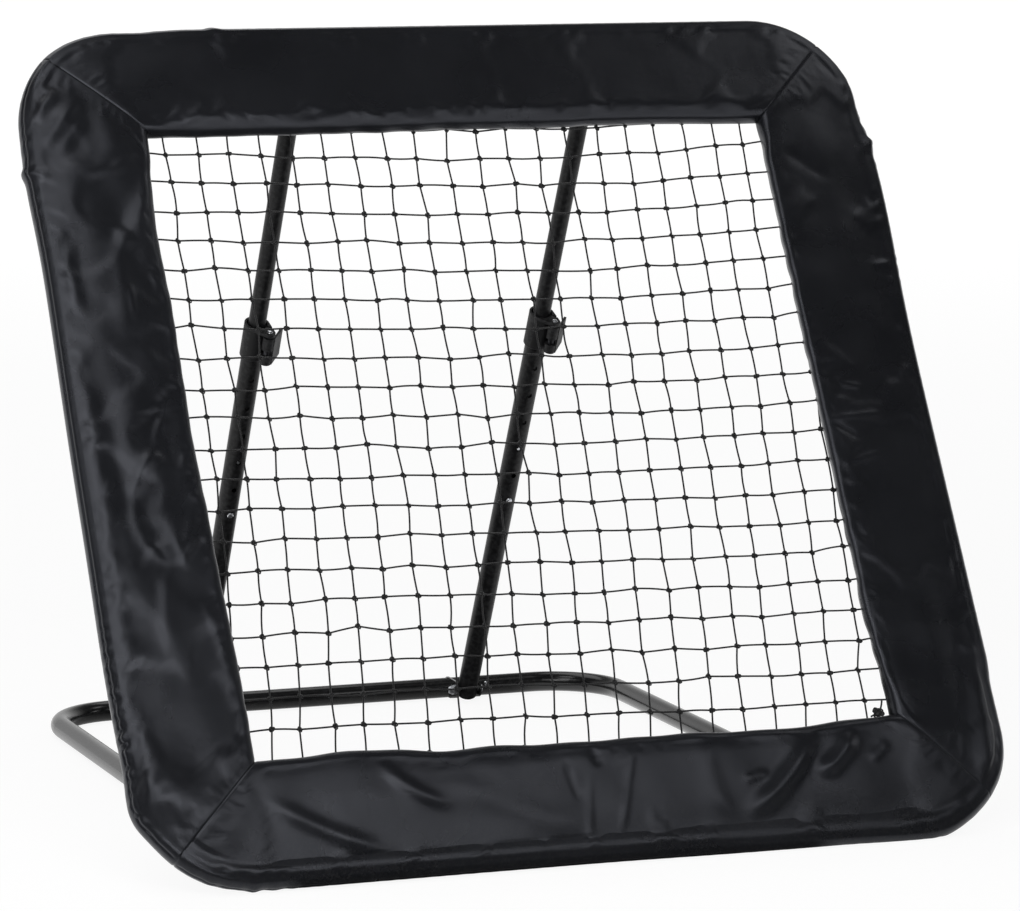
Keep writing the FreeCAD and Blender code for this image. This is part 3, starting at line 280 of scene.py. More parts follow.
def smooth_step(values: np.ndarray, low: float, high: float) -> np.ndarray:
    """A soft step from 0 below low to 1 above high."""
    t = np.clip((np.asarray(values, float) - low) / (high - low), 0.0, 1.0)
    return t * t * (3 - 2 * t)


def quad(rows: int, columns: int, r: int, c: int) -> Tuple[int, int, int, int]:
    """The face after a row and a column of a grid that closes along its rows."""
    here, after = r * columns + c, (r + 1) % rows * columns + c
    return here, after, after + 1, here + 1


# Shader nodes --------------------------------------------------------------------------


@dataclass
class Graph:
    """A node tree with short calls that add and join nodes."""

    tree: bpy.types.NodeTree

    def add(self, kind: str, **settings: object) -> bpy.types.Node:
        """Adds a node and sets its properties."""
        node = self.tree.nodes.new(kind)
        for key, value in settings.items():
            setattr(node, key, value)
        return node

    def feed(self, target: bpy.types.NodeSocket, value: object) -> None:
        """Links a socket to another, or sets its value."""
        if isinstance(value, bpy.types.NodeSocket):
            self.tree.links.new(value, target)
        else:
            target.default_value = value

    def math(self, operation: str, *values: Number, clamp: bool = False) -> bpy.types.NodeSocket:
        """A sum, product or other function of one to three values."""
        node = self.add("ShaderNodeMath", operation=operation, use_clamp=clamp)
        for index, value in enumerate(values):
            self.feed(node.inputs[index], value)
        return node.outputs[0]

    def spread(self, *values: Number) -> bpy.types.NodeSocket:
        """Maps a value, clamped: the value, its low and high, and what these turn into."""
        node = self.add("ShaderNodeMapRange")
        for index, value in enumerate(values):
            self.feed(node.inputs[index], value)
        return node.outputs[0]

    def band(self, value: Number, rise: Sequence[float], fall: Sequence[float]) -> bpy.types.NodeSocket:
        """1 between a value's rise and its fall, 0 outside them."""
        risen, fallen = self.spread(value, *rise, 0.0, 1.0), self.spread(value, *fall, 1.0, 0.0)
        return self.math("MULTIPLY", risen, fallen)

    def axes(self, vector: object) -> Sequence[bpy.types.NodeSocket]:
        """A vector's three parts."""
        node = self.add("ShaderNodeSeparateXYZ")
        self.feed(node.inputs[0], vector)
        return node.outputs

    def mixed(self, factor: Number, first: object, second: object) -> bpy.types.NodeSocket:
        """A shader between two shaders."""
        node = self.add("ShaderNodeMixShader")
        for index, value in enumerate((factor, first, second)):
            self.feed(node.inputs[index], value)
        return node.outputs[0]

    def noise(
        self, vector: object, scale: Number, detail: float = 3.0, distortion: float = 0.0
    ) -> bpy.types.NodeSocket:
        """A noise value over a vector."""
        node = self.add("ShaderNodeTexNoise")
        self.feed(node.inputs["Vector"], vector)
        self.feed(node.inputs["Scale"], scale)
        node.inputs["Detail"].default_value = detail
        node.inputs["Distortion"].default_value = distortion
        return node.outputs["Fac"]

    def blend(self, factor: Number, first: object, second: object) -> bpy.types.NodeSocket:
        """A colour between two colours."""
        node = self.add("ShaderNodeMix", data_type="RGBA")
        self.feed(node.inputs["Factor"], factor)
        self.feed(node.inputs["A"], first)
        self.feed(node.inputs["B"], second)
        return node.outputs["Result"]

    def turned(self, vector: object, turn: Sequence[float], scale: Sequence[float]) -> bpy.types.NodeSocket:
        """A vector turned by degrees and scaled along its axes."""
        node = self.add("ShaderNodeMapping")
        self.feed(node.inputs["Vector"], vector)
        node.inputs["Rotation"].default_value = [math.radians(angle) for angle in turn]
        node.inputs["Scale"].default_value = list(scale)
        return node.outputs[0]

    def group(self, tree: bpy.types.NodeTree, **values: object) -> bpy.types.Node:
        """Places a node group and feeds its inputs by name."""
        node = self.add("ShaderNodeGroup", node_tree=tree)
        for key, value in values.items():
            self.feed(node.inputs[key], value)
        return node


def new_group(
    name: str, inputs: Dict[str, float], outputs: Sequence[str]
) -> Tuple[Graph, bpy.types.Node, bpy.types.Node]:
    """Starts a shader node group whose first input is a vector.

    Args:
        name: the group's name.
        inputs: the name and the default of each value that it takes.
        outputs: the name of each value that it gives.

    Returns:
        The group's graph, its input node and its output node.
    """
    tree = bpy.data.node_groups.new(name, "ShaderNodeTree")
    tree.interface.new_socket(name="Vector", in_out="INPUT", socket_type="NodeSocketVector")
    for label, value in inputs.items():
        socket = tree.interface.new_socket(name=label, in_out="INPUT", socket_type="NodeSocketFloat")
        socket.default_value = value
    for label in outputs:
        tree.interface.new_socket(name=label, in_out="OUTPUT", socket_type="NodeSocketFloat")
    graph = Graph(tree)
    return graph, graph.add("NodeGroupInput"), graph.add("NodeGroupOutput")


class Effects:
    """The shader effects that several finishes share, each built once."""

    def __init__(self) -> None:
        """Builds every group."""
        self.weave = self._weave()
        self.crinkle = self._crinkle()
        self.mottle = self._mottle()
        self.grain = self._grain()
        self.wear = self._wear()
        self.dust = self._dust()
        self.lay = self._lay()

    def _weave(self) -> bpy.types.NodeTree:
        """A plain weave: raised threads in a chequer, with uneven yarns.

        Returns:
            The group's tree.
        """
        graph, given, out = new_group("PlainWeave", {"Pitch": 0.0006}, ("Height", "Shade"))
        parts = graph.axes(given.outputs["Vector"])
        waves = []
        for axis in (0, 1):
            turns = graph.math("DIVIDE", parts[axis], given.outputs["Pitch"])
            waves.append(graph.math("SINE", graph.math("MULTIPLY", turns, math.pi)))
        height = graph.math("MULTIPLY_ADD", graph.math("MULTIPLY", *waves), 0.5, 0.5)
        graph.feed(out.inputs["Height"], height)
        slub = graph.noise(graph.turned(given.outputs["Vector"], (0, 0, 0), (40, 900, 40)), 1.0, 2.0)
        # Painted shade: the raised threads lighter and the hollows between them darker, mixed with the slubs'
        # uneven yarn tone.
        shade = graph.math("MULTIPLY_ADD", height, 0.4, graph.math("MULTIPLY", slub, 0.6))
        graph.feed(out.inputs["Shade"], shade)
        return graph.tree

    def _crinkle(self) -> bpy.types.NodeTree:
        """Small creases of coated cloth, some fine and round, some long and slanting.

        Returns:
            The group's tree.
        """
        graph, given, out = new_group("ClothCrinkle", {"Scale": 1.0}, ("Height", "Mask"))
        scaled = graph.add("ShaderNodeVectorMath", operation="SCALE")
        graph.feed(scaled.inputs[0], given.outputs["Vector"])
        graph.feed(scaled.inputs["Scale"], given.outputs["Scale"])
        vector = scaled.outputs[0]
        round_creases = graph.noise(vector, 26.0, 4.0, 0.6)
        slanting = graph.noise(graph.turned(vector, (0, 0, 34), (9, 38, 12)), 1.0, 3.0, 0.9)
        upright = graph.noise(graph.turned(vector, (0, 0, -12), (44, 8, 12)), 1.0, 3.0, 0.7)
        patches = graph.spread(graph.noise(vector, 5.5, 2.0), 0.40, 0.66, 0.0, 1.0)
        long_creases = graph.math("MULTIPLY", graph.math("ADD", slanting, upright), patches)
        height = graph.math("MULTIPLY_ADD", long_creases, 0.30, graph.math("MULTIPLY", round_creases, 0.45))
        graph.feed(out.inputs["Height"], height)
        graph.feed(out.inputs["Mask"], patches)
        return graph.tree

    def _mottle(self) -> bpy.types.NodeTree:
        """A slow, cloudy change over a surface, between two values.

        Returns:
            The group's tree.
        """
        graph, given, out = new_group("Mottle", {"Scale": 8.0, "Low": 0.0, "High": 1.0}, ("Value",))
        cloud = graph.noise(given.outputs["Vector"], given.outputs["Scale"], 4.0, 0.4)
        value = graph.spread(cloud, 0.3, 0.7, given.outputs["Low"], given.outputs["High"])
        graph.feed(out.inputs["Value"], value)
        return graph.tree

    def _grain(self) -> bpy.types.NodeTree:
        """The fine skin of powder coat or moulded plastic.

        Returns:
            The group's tree.
        """
        graph, given, out = new_group("FineGrain", {"Scale": 900.0}, ("Height", "Shade"))
        vector, scale = given.outputs["Vector"], given.outputs["Scale"]
        fine = graph.noise(vector, scale, 2.0)
        broad = graph.noise(vector, graph.math("MULTIPLY", scale, 0.08), 2.0)
        height = graph.math("MULTIPLY_ADD", broad, 0.4, graph.math("MULTIPLY", fine, 0.6))
        graph.feed(out.inputs["Height"], height)
        graph.feed(out.inputs["Shade"], broad)
        return graph.tree

    def _wear(self) -> bpy.types.NodeTree:
        """Rubbed edges: where the surface is convex and a noise lets the rubbing through.

        Returns:
            The group's tree.
        """
        graph, given, out = new_group("EdgeRub", {"Amount": 0.3, "Scale": 140.0}, ("Mask",))
        convex = graph.add("ShaderNodeNewGeometry").outputs["Pointiness"]
        edge = graph.spread(convex, 0.52, 0.60, 0.0, 1.0)
        rubbing = graph.noise(given.outputs["Vector"], given.outputs["Scale"], 4.0)
        broken = graph.math("MULTIPLY", edge, graph.spread(rubbing, 0.42, 0.62, 0.0, 1.0))
        mask = graph.math("MULTIPLY", broken, given.outputs["Amount"], clamp=True)
        graph.feed(out.inputs["Mask"], mask)
        return graph.tree

    def _dust(self) -> bpy.types.NodeTree:
        """Pale dust that thins out upward from the floor.

        Returns:
            The group's tree.
        """
        graph, given, out = new_group("FloorDust", {"Reach": 0.08, "Amount": 0.2}, ("Mask",))
        up = graph.axes(given.outputs["Vector"])[2]
        low = graph.spread(up, 0.0, given.outputs["Reach"], 1.0, 0.0)
        specks = graph.spread(graph.noise(given.outputs["Vector"], 260.0, 4.0), 0.45, 0.7, 0.0, 1.0)
        dusty = graph.math("MULTIPLY", low, specks)
        mask = graph.math("MULTIPLY", dusty, given.outputs["Amount"], clamp=True)
        graph.feed(out.inputs["Mask"], mask)
        return graph.tree

    def _lay(self) -> bpy.types.NodeTree:
        """The twist of a laid cord, from how far along and round it a point is.

        Returns:
            The group's tree.
        """
        graph, given, out = new_group("CordTwist", {"Pitch": 0.008, "Plies": 3.0}, ("Height", "Shade"))
        parts = graph.axes(given.outputs["Vector"])
        phase = graph.math("ADD", graph.math("DIVIDE", parts[0], given.outputs["Pitch"]), parts[1])
        angle = graph.math("MULTIPLY", graph.math("MULTIPLY", phase, given.outputs["Plies"]), math.pi)
        ply = graph.math("ABSOLUTE", graph.math("SINE", angle))
        graph.feed(out.inputs["Height"], ply)
        # Shade: darker in the grooves between the plies and lighter on their crowns, a painted shade.
        graph.feed(out.inputs["Shade"], graph.math("MULTIPLY_ADD", ply, 0.7, 0.3))
        return graph.tree


# Finishes ------------------------------------------------------------------------------


@dataclass
class Surface:
    """A material being made: its graph, its shader and the point that it shades."""

    name: str
    graph: Graph = field(init=False)
    shader: bpy.types.Node = field(init=False)
    place: bpy.types.NodeSocket = field(init=False)
    material: bpy.types.Material = field(init=False)

    def __post_init__(self) -> None:
        """Starts the material with one Principled shader."""
        self.material = bpy.data.materials.new(self.name)
        self.material.use_nodes = True
        self.graph = Graph(self.material.node_tree)
        self.shader = self.material.node_tree.nodes["Principled BSDF"]
        self.place = self.graph.add("ShaderNodeTexCoord").outputs["Object"]

    def set(self, socket: str, value: object) -> None:
        """Sets or links one of the shader's sockets."""
        self.graph.feed(self.shader.inputs[socket], value)

    def bump(
        self, height: Number, distance: float, strength: float = 1.0, under: Optional[object] = None
    ) -> object:
        """Adds a bump under the shader's normal.

        Args:
            height: the height over the surface, from 0 to 1.
            distance: how deep that is, in metres.
            strength: how much of it shows.
            under: the normal of another bump that this one lies on.

        Returns:
            The bump's normal.
        """
        node = self.graph.add("ShaderNodeBump")
        node.inputs["Strength"].default_value = strength
        node.inputs["Distance"].default_value = distance
        self.graph.feed(node.inputs["Height"], height)
        if under is not None:
            self.graph.feed(node.inputs["Normal"], under)
        self.set("Normal", node.outputs[0])
        return node.outputs[0]


@dataclass(frozen=True)
class ClothFinish:
    """Coated black polyester of the padded cover."""

    name: str = "cover_polyester"
    dark: Tuple[float, float, float] = (0.0075, 0.0080, 0.0098)
    light: Tuple[float, float, float] = (0.0125, 0.0132, 0.0160)
    rough: Tuple[float, float] = (0.25, 0.33)
    specular: float = 0.53
    tint: Tuple[float, float, float] = (0.86, 0.89, 1.0)
    sheen: float = 0.02
    yarn_pitch: float = 0.0007
    yarn_depth: float = 0.00006
    crease_depth: float = 0.0009
    lean_degrees: float = 58.5

    def make(self, effects: Effects) -> bpy.types.Material:
        """Builds the material.

        Args:
            effects: the shared node groups.

        Returns:
            The finished material.
        """
        surface = Surface(self.name)
        graph = surface.graph
        flat = graph.turned(surface.place, (-self.lean_degrees, 0, 0), (1, 1, 1))
        weave = graph.group(effects.weave, Vector=flat, Pitch=self.yarn_pitch)
        crinkle = graph.group(effects.crinkle, Vector=flat, Scale=1.0)
        cloud = graph.group(effects.mottle, Vector=flat, Scale=9.0, Low=0.0, High=1.0)
        dust = graph.group(effects.dust, Vector=surface.place, Reach=0.10, Amount=0.10)
        clouds = graph.math("MULTIPLY", cloud.outputs[0], 0.5)
        # The cloth's tone mixes the weave's painted thread shade with random clouds of real tone.
        tone_and_painted_shade = graph.math("MULTIPLY_ADD", weave.outputs["Shade"], 0.35, clouds)
        colour = graph.blend(tone_and_painted_shade, (*self.dark, 1), (*self.light, 1))
        surface.set("Base Color", graph.blend(dust.outputs[0], colour, (0.12, 0.115, 0.105, 1)))
        surface.set("Roughness", graph.spread(cloud.outputs[0], 0.0, 1.0, *self.rough))
        surface.set("Specular IOR Level", self.specular)
        surface.set("Specular Tint", (*self.tint, 1))
        surface.set("Sheen Weight", self.sheen)
        surface.set("Sheen Roughness", 0.45)
        folds = surface.bump(crinkle.outputs["Height"], self.crease_depth)
        surface.bump(weave.outputs["Height"], self.yarn_depth, 1.0, folds)
        return surface.material


@dataclass(frozen=True)
class CordFinish:
    """Twisted cord of the net or of its border rope."""

    name: str
    pitch: float
    plies: float
    dark: Tuple[float, float, float] = (0.0045, 0.0045, 0.0050)
    light: Tuple[float, float, float] = (0.0230, 0.0230, 0.0245)
    depth: float = 0.0004
    rough: float = 0.78

    def make(self, effects: Effects) -> bpy.types.Material:
        """Builds the material.

        Args:
            effects: the shared node groups.

        Returns:
            The finished material.
        """
        surface = Surface(self.name)
        graph = surface.graph
        along = graph.add("ShaderNodeUVMap", uv_map="lay").outputs[0]
        twist = graph.group(effects.lay, Vector=along, Pitch=self.pitch, Plies=self.plies)
        fuzz = graph.noise(surface.place, 1800.0, 2.0)
        # Painted shade of the twist, darker in the grooves between the plies, times a real uneven fuzz tone.
        tone_and_painted_shade = graph.math("MULTIPLY", twist.outputs["Shade"], graph.spread(fuzz, 0.3, 0.7, 0.55, 1.0))
        surface.set("Base Color", graph.blend(tone_and_painted_shade, (*self.dark, 1), (*self.light, 1)))
        surface.set("Roughness", graph.spread(fuzz, 0.3, 0.7, self.rough, self.rough + 0.12))
        surface.set("Specular IOR Level", 0.3)
        surface.set("Sheen Weight", 0.25)
        surface.bump(twist.outputs["Height"], self.depth, 0.9)
        return surface.material


@dataclass(frozen=True)
class ElasticFinish:
    """Braided or ribbed elastic."""

    name: str
    rib: float
    plies: float
    colour: Tuple[float, float, float] = (0.012, 0.012, 0.013)

    def make(self, effects: Effects) -> bpy.types.Material:
        """Builds the material.

        Args:
            effects: the shared node groups.

        Returns:
            The finished material.
        """
        surface = Surface(self.name)
        graph = surface.graph
        along = graph.add("ShaderNodeUVMap", uv_map="lay").outputs[0]
        left = graph.group(effects.lay, Vector=along, Pitch=self.rib, Plies=self.plies)
        right = graph.group(effects.lay, Vector=along, Pitch=-self.rib, Plies=self.plies)
        braid = graph.math("MAXIMUM", left.outputs["Height"], right.outputs["Height"])
        # Painted shade: the raised braid lighter, the grooves between its strands darker.
        shade = graph.spread(braid, 0.5, 1.0, 0.3, 1.0)
        pale = tuple(value * 2.4 for value in self.colour)
        surface.set("Base Color", graph.blend(shade, (*self.colour, 1), (*pale, 1)))
        surface.set("Roughness", graph.spread(shade, 0.0, 1.0, 0.85, 0.62))
        surface.set("Sheen Weight", 0.2)
        surface.bump(braid, 0.0004, 0.8)
        return surface.material


@dataclass(frozen=True)
class PaintFinish:
    """Black powder coat on steel tube, with rubbed edges and a little floor dust."""

    name: str
    colour: Tuple[float, float, float] = (0.0060, 0.0060, 0.0066)
    rough: Tuple[float, float] = (0.19, 0.23)
    specular: float = 0.5
    coat: float = 0.25
    peel: float = 0.000006
    rub: float = 0.10
    dust: float = 0.05

    def make(self, effects: Effects) -> bpy.types.Material:
        """Builds the material.

        Args:
            effects: the shared node groups.

        Returns:
            The finished material.
        """
        surface = Surface(self.name)
        graph = surface.graph
        grain = graph.group(effects.grain, Vector=surface.place, Scale=620.0)
        cloud = graph.group(effects.mottle, Vector=surface.place, Scale=14.0, Low=0.0, High=1.0)
        rub = graph.group(effects.wear, Vector=surface.place, Amount=self.rub, Scale=160.0)
        dust = graph.group(effects.dust, Vector=surface.place, Reach=0.05, Amount=self.dust)
        pale = tuple(value * 1.5 for value in self.colour)
        colour = graph.blend(cloud.outputs[0], (*self.colour, 1), (*pale, 1))
        colour = graph.blend(rub.outputs[0], colour, (0.16, 0.16, 0.165, 1))
        surface.set("Base Color", graph.blend(dust.outputs[0], colour, (0.20, 0.19, 0.175, 1)))
        rough = graph.spread(cloud.outputs[0], 0.0, 1.0, *self.rough)
        surface.set("Roughness", graph.math("MULTIPLY_ADD", dust.outputs[0], 0.5, rough, clamp=True))
        surface.set("Specular IOR Level", self.specular)
        surface.set("Coat Weight", self.coat)
        surface.set("Coat Roughness", 0.12)
        surface.bump(grain.outputs["Height"], self.peel)
        return surface.material


@dataclass(frozen=True)
class MetalFinish:
    """Bare or plated metal of bolts, buttons, pins and springs."""

    name: str
    bright: Tuple[float, float, float]
    dull: Tuple[float, float, float]
    rough: Tuple[float, float]
    metallic: float = 1.0

    def make(self, effects: Effects) -> bpy.types.Material:
        """Builds the material.

        Args:
            effects: the shared node groups.

        Returns:
            The finished material.
        """
        surface = Surface(self.name)
        graph = surface.graph
        cloud = graph.group(effects.mottle, Vector=surface.place, Scale=210.0, Low=0.0, High=1.0)
        grain = graph.group(effects.grain, Vector=surface.place, Scale=2400.0)
        rub = graph.group(effects.wear, Vector=surface.place, Amount=0.5, Scale=400.0)
        colour = graph.blend(cloud.outputs[0], (*self.bright, 1), (*self.dull, 1))
        surface.set("Base Color", graph.blend(rub.outputs[0], colour, (*self.bright, 1)))
        surface.set("Metallic", self.metallic)
        surface.set("Roughness", graph.spread(cloud.outputs[0], 0.0, 1.0, *self.rough))
        surface.bump(grain.outputs["Height"], 0.00002, 0.6)
        return surface.material


@dataclass(frozen=True)
class MouldedFinish:
    """Black nylon of collars, levers, caps and bushes."""

    name: str = "moulded_nylon"
    colour: Tuple[float, float, float] = (0.0075, 0.0075, 0.0082)
    rough: Tuple[float, float] = (0.50, 0.64)
    specular: float = 0.3

    def make(self, effects: Effects) -> bpy.types.Material:
        """Builds the material.

        Args:
            effects: the shared node groups.

        Returns:
            The finished material.
        """
        surface = Surface(self.name)
        graph = surface.graph
        grain = graph.group(effects.grain, Vector=surface.place, Scale=1500.0)
        cloud = graph.group(effects.mottle, Vector=surface.place, Scale=45.0, Low=0.0, High=1.0)
        rub = graph.group(effects.wear, Vector=surface.place, Amount=0.4, Scale=220.0)
        pale = tuple(value * 1.9 for value in self.colour)
        colour = graph.blend(cloud.outputs[0], (*self.colour, 1), (*pale, 1))
        surface.set("Base Color", graph.blend(rub.outputs[0], colour, (0.06, 0.06, 0.062, 1)))
        surface.set("Roughness", graph.spread(cloud.outputs[0], 0.0, 1.0, *self.rough))
        surface.set("Specular IOR Level", self.specular)
        surface.bump(grain.outputs["Height"], 0.00008)
        return surface.material


class Palette:
    """Every material of the object, made from its finish."""

    def __init__(self, effects: Effects) -> None:
        """Makes the materials.

        Args:
            effects: the shared node groups.
        """
        self.cloth = ClothFinish().make(effects)
        self.cord = CordFinish("net_twine", pitch=0.0075, plies=3.0).make(effects)
        rope = CordFinish("border_rope", pitch=0.020, plies=3.0, depth=0.0009, rough=0.70)
        self.rope = rope.make(effects)
        self.bungee = ElasticFinish("loop_elastic", rib=0.006, plies=5.0).make(effects)
        self.ribbon = ElasticFinish("hem_ribbon", rib=0.003, plies=9.0).make(effects)
        self.base_paint = PaintFinish("base_powder_coat").make(effects)
        leg = PaintFinish("leg_powder_coat", rough=(0.36, 0.42), specular=0.22, coat=0.0)
        self.leg_paint = leg.make(effects)
        zinc = MetalFinish("bright_zinc", (0.80, 0.81, 0.83), (0.52, 0.54, 0.58), (0.16, 0.34))
        self.zinc = zinc.make(effects)
        spring = MetalFinish("spring_steel", (0.42, 0.40, 0.38), (0.22, 0.21, 0.20), (0.30, 0.45))
        self.spring = spring.make(effects)
        oxide = MetalFinish("black_oxide", (0.055, 0.055, 0.06), (0.02, 0.02, 0.022), (0.30, 0.5))
        self.black_steel = oxide.make(effects)
        self.nylon = MouldedFinish().make(effects)


# Camera, floor and lamps -----------------------------------------------------------------


@dataclass(frozen=True)
class SoftBox:
    """A studio lamp with a large soft face."""

    name: str
    place: Tuple[float, float, float]
    aim: Tuple[float, float, float]
    width: float
    height: float
    radiance: float

    def build(self) -> None:
        """Hangs the lamp, facing its aim and unseen by the camera."""
        lamp = bpy.data.lights.new(self.name, "AREA")
        lamp.shape = "RECTANGLE"
        lamp.size, lamp.size_y = self.width, self.height
        lamp.energy = self.radiance * math.pi * self.width * self.height
        holder = bpy.data.objects.new(self.name, lamp)
        bpy.context.scene.collection.objects.link(holder)
        holder.location = self.place
        facing = Vector(self.aim) - Vector(self.place)
        holder.rotation_euler = facing.to_track_quat("-Z", "Y").to_euler()
        holder.visible_camera = False


@dataclass
class Studio:
    """The camera at the photograph's place, a pale floor, a white surround and soft lamps."""

    eye: Tuple[float, float, float] = (-2.2341, -6.0628, 1.3979)
    turn_degrees: Tuple[float, float, float] = (81.7038, -0.2855, -20.885)
    lens: float = 166.958
    sensor: float = 36.0
    floor_radius: float = 60.0
    floor_corners: int = 96
    floor_tone: float = 0.86
    floor_glow: float = 0.82
    floor_level: float = 1.10
    floor_far: float = 1.23
    # Bands of floor that mirrored rays see dark, ahead of and under the object: a painted dark reflection in
    # the tubes and the cloth, not the floor's own colour.
    mirrored_ahead: Tuple[Tuple[float, float], ...] = ((-1.45, -1.30), (-0.65, -0.50))
    mirrored_beside: Tuple[Tuple[float, float], ...] = ((-0.46, -0.40), (0.30, 0.36))
    mirrored_back: Tuple[float, float] = (0.50, 0.60)
    painted_reflection_darkness: float = 0.94
    surround_back: float = 1.0
    surround_front: float = 0.06
    surround_seen: float = 1.28
    boxes: Tuple[SoftBox, ...] = (
        SoftBox("front_low", (0.3, -2.28, 1.38), (0.0, -0.5, 0.1), 2.1, 0.72, 1.5),
        SoftBox("key_left", (-1.75, -1.35, 2.05), (-0.5, -0.25, 0.5), 1.8, 1.1, 2.0),
        SoftBox("upper_left", (-0.80, -1.45, 2.65), (-0.55, -0.1, 0.8), 0.5, 0.7, 1.1),
        SoftBox("corner_left", (-0.95, -0.5, 3.0), (-0.5, 0.0, 0.9), 1.0, 1.2, 1.9),
        SoftBox("corner_right", (1.8, -0.1, 2.6), (0.55, 0.05, 1.0), 0.7, 0.7, 1.8),
        SoftBox("low_right", (2.3, -0.95, 0.95), (0.57, -0.42, 0.12), 0.35, 0.6, 2.2),
        SoftBox("low_left", (-0.58, -2.2, 1.14), (-0.56, -0.5, 0.05), 0.6, 0.5, 4.5),
        SoftBox("overhead_front", (1.0, -0.75, 2.7), (0.5, 0.0, 0.9), 1.6, 1.0, 0.08),
        SoftBox("fill_left", (-3.4, -4.4, 2.6), (0.0, 0.0, 0.5), 2.6, 2.6, 1.5),
        SoftBox("overhead_back", (-0.2, 2.0, 3.2), (0.0, 0.3, 0.2), 3.0, 2.0, 1.2),
    )

    def build(self) -> None:
        """Builds the camera first, then what it stands in."""
        self._camera()
        self._floor()
        self._surround()
        for box in self.boxes:
            box.build()
        bpy.context.scene.view_settings.view_transform = "Standard"

    def _camera(self) -> None:
        """Puts the camera where the photograph was taken from."""
        data = bpy.data.cameras.new("photo_camera")
        data.lens = self.lens
        data.sensor_width = self.sensor
        data.clip_end = 200.0
        camera = bpy.data.objects.new("photo_camera", data)
        camera.location = self.eye
        camera.rotation_euler = Euler([math.radians(angle) for angle in self.turn_degrees], "XYZ")
        bpy.context.scene.collection.objects.link(camera)
        bpy.context.scene.camera = camera

    def _floor(self) -> None:
        """Lays a plain pale floor that keeps the object's shadow.

        It glows faintly where it is seen, brighter far away. Where the tubes would mirror it
        from under and before the object it is dark, as in the photograph.
        """
        parts = MeshParts()
        angles = np.linspace(0, 2 * math.pi, self.floor_corners, endpoint=False)
        rim = np.stack([np.cos(angles), np.sin(angles), np.zeros_like(angles)], axis=1)
        parts.add(rim * self.floor_radius, [tuple(range(self.floor_corners))])
        material = bpy.data.materials.new("pale_floor")
        material.use_nodes = True
        graph = Graph(material.node_tree)
        graph.tree.nodes.clear()
        place = graph.add("ShaderNodeTexCoord").outputs["Object"]
        cloud = graph.noise(place, 3.0, 2.0)
        speckle = graph.spread(cloud, 0.3, 0.7, self.floor_tone - 0.01, self.floor_tone)
        colour = graph.add("ShaderNodeCombineColor")
        for index in range(3):
            graph.feed(colour.inputs[index], speckle)
        matt = graph.add("ShaderNodeBsdfDiffuse")
        graph.feed(matt.inputs["Color"], colour.outputs[0])
        glow = graph.add("ShaderNodeEmission")
        away = graph.add("ShaderNodeVectorMath", operation="LENGTH")
        graph.feed(away.inputs[0], place)
        level = graph.spread(away.outputs["Value"], 1.5, 9.0, self.floor_level, self.floor_far)
        graph.feed(glow.inputs["Strength"], level)
        rays = graph.add("ShaderNodeLightPath").outputs
        mirrored = graph.math("ADD", rays["Is Glossy Ray"], rays["Is Transmission Ray"], clamp=True)
        seen = graph.math("ADD", rays["Is Camera Ray"], mirrored, clamp=True)
        share = graph.math("MULTIPLY", seen, self.floor_glow)
        lit = graph.mixed(share, matt.outputs[0], glow.outputs[0])
        # Painted dark reflection: to mirrored rays the floor turns dark ahead of and under the object, while
        # the camera still sees it white.
        across, back, _ = graph.axes(place)
        ahead = graph.band(back, *self.mirrored_ahead)
        beside = graph.band(across, *self.mirrored_beside)
        beneath = graph.math("MULTIPLY", beside, graph.spread(back, *self.mirrored_back, 1.0, 0.0))
        painted_dark_reflection = graph.math("MULTIPLY", graph.math("MAXIMUM", ahead, beneath), self.painted_reflection_darkness)
        # A black glow that carries this painted dark reflection.
        dark = graph.add("ShaderNodeEmission")
        dark.inputs["Strength"].default_value = 0.0
        whole = graph.mixed(graph.math("MULTIPLY", mirrored, painted_dark_reflection), lit, dark.outputs[0])
        graph.feed(graph.add("ShaderNodeOutputMaterial").inputs["Surface"], whole)
        parts.build("studio_floor", material)

    def _surround(self) -> None:
        """Makes the world white to the camera, and to the object white low down and dim overhead."""
        world = bpy.data.worlds.new("studio_surround")
        bpy.context.scene.world = world
        world.use_nodes = True
        graph = Graph(world.node_tree)
        graph.tree.nodes.clear()
        _, back, up = graph.axes(graph.add("ShaderNodeTexCoord").outputs["Generated"])
        low = graph.spread(up, 0.32, 0.62, self.surround_back, 0.10)
        behind = graph.spread(back, -0.1, 0.45, 0.0, 1.0)
        level = graph.math("MAXIMUM", graph.math("MULTIPLY", low, behind), self.surround_front)
        rays = graph.add("ShaderNodeLightPath")
        strength = graph.spread(rays.outputs["Is Camera Ray"], 0.0, 1.0, level, self.surround_seen)
        glow = graph.add("ShaderNodeBackground")
        graph.feed(glow.inputs["Strength"], strength)
        graph.feed(graph.add("ShaderNodeOutputWorld").inputs["Surface"], glow.outputs[0])


# Padded cover ----------------------------------------------------------------------------


@dataclass(frozen=True)
class Fold:
    """A soft fold or crease pressed into the front cloth, drawn on the frame's plane in mm."""

    start: Tuple[float, float]
    end: Tuple[float, float]
    width: float
    height: float
    bow: float = 0.0

    def lift(self, x: np.ndarray, s: np.ndarray) -> np.ndarray:
        """How far the cloth stands out at points of the plane.

        Args:
            x: across, in mm.
            s: up the frame, in mm.

        Returns:
            The lift in mm.
        """
        ax, ay = self.start
        dx, dy = self.end[0] - ax, self.end[1] - ay
        length = math.hypot(dx, dy)
        t = ((x - ax) * dx + (s - ay) * dy) / length**2
        away = ((x - ax) * dy - (s - ay) * dx) / length - self.bow * 4 * t * (1 - t)
        taper = smooth_step(t, -0.08, 0.30) * smooth_step(1.08 - t, 0.0, 0.38)
        return self.height * np.exp(-((away / self.width) ** 2)) * taper


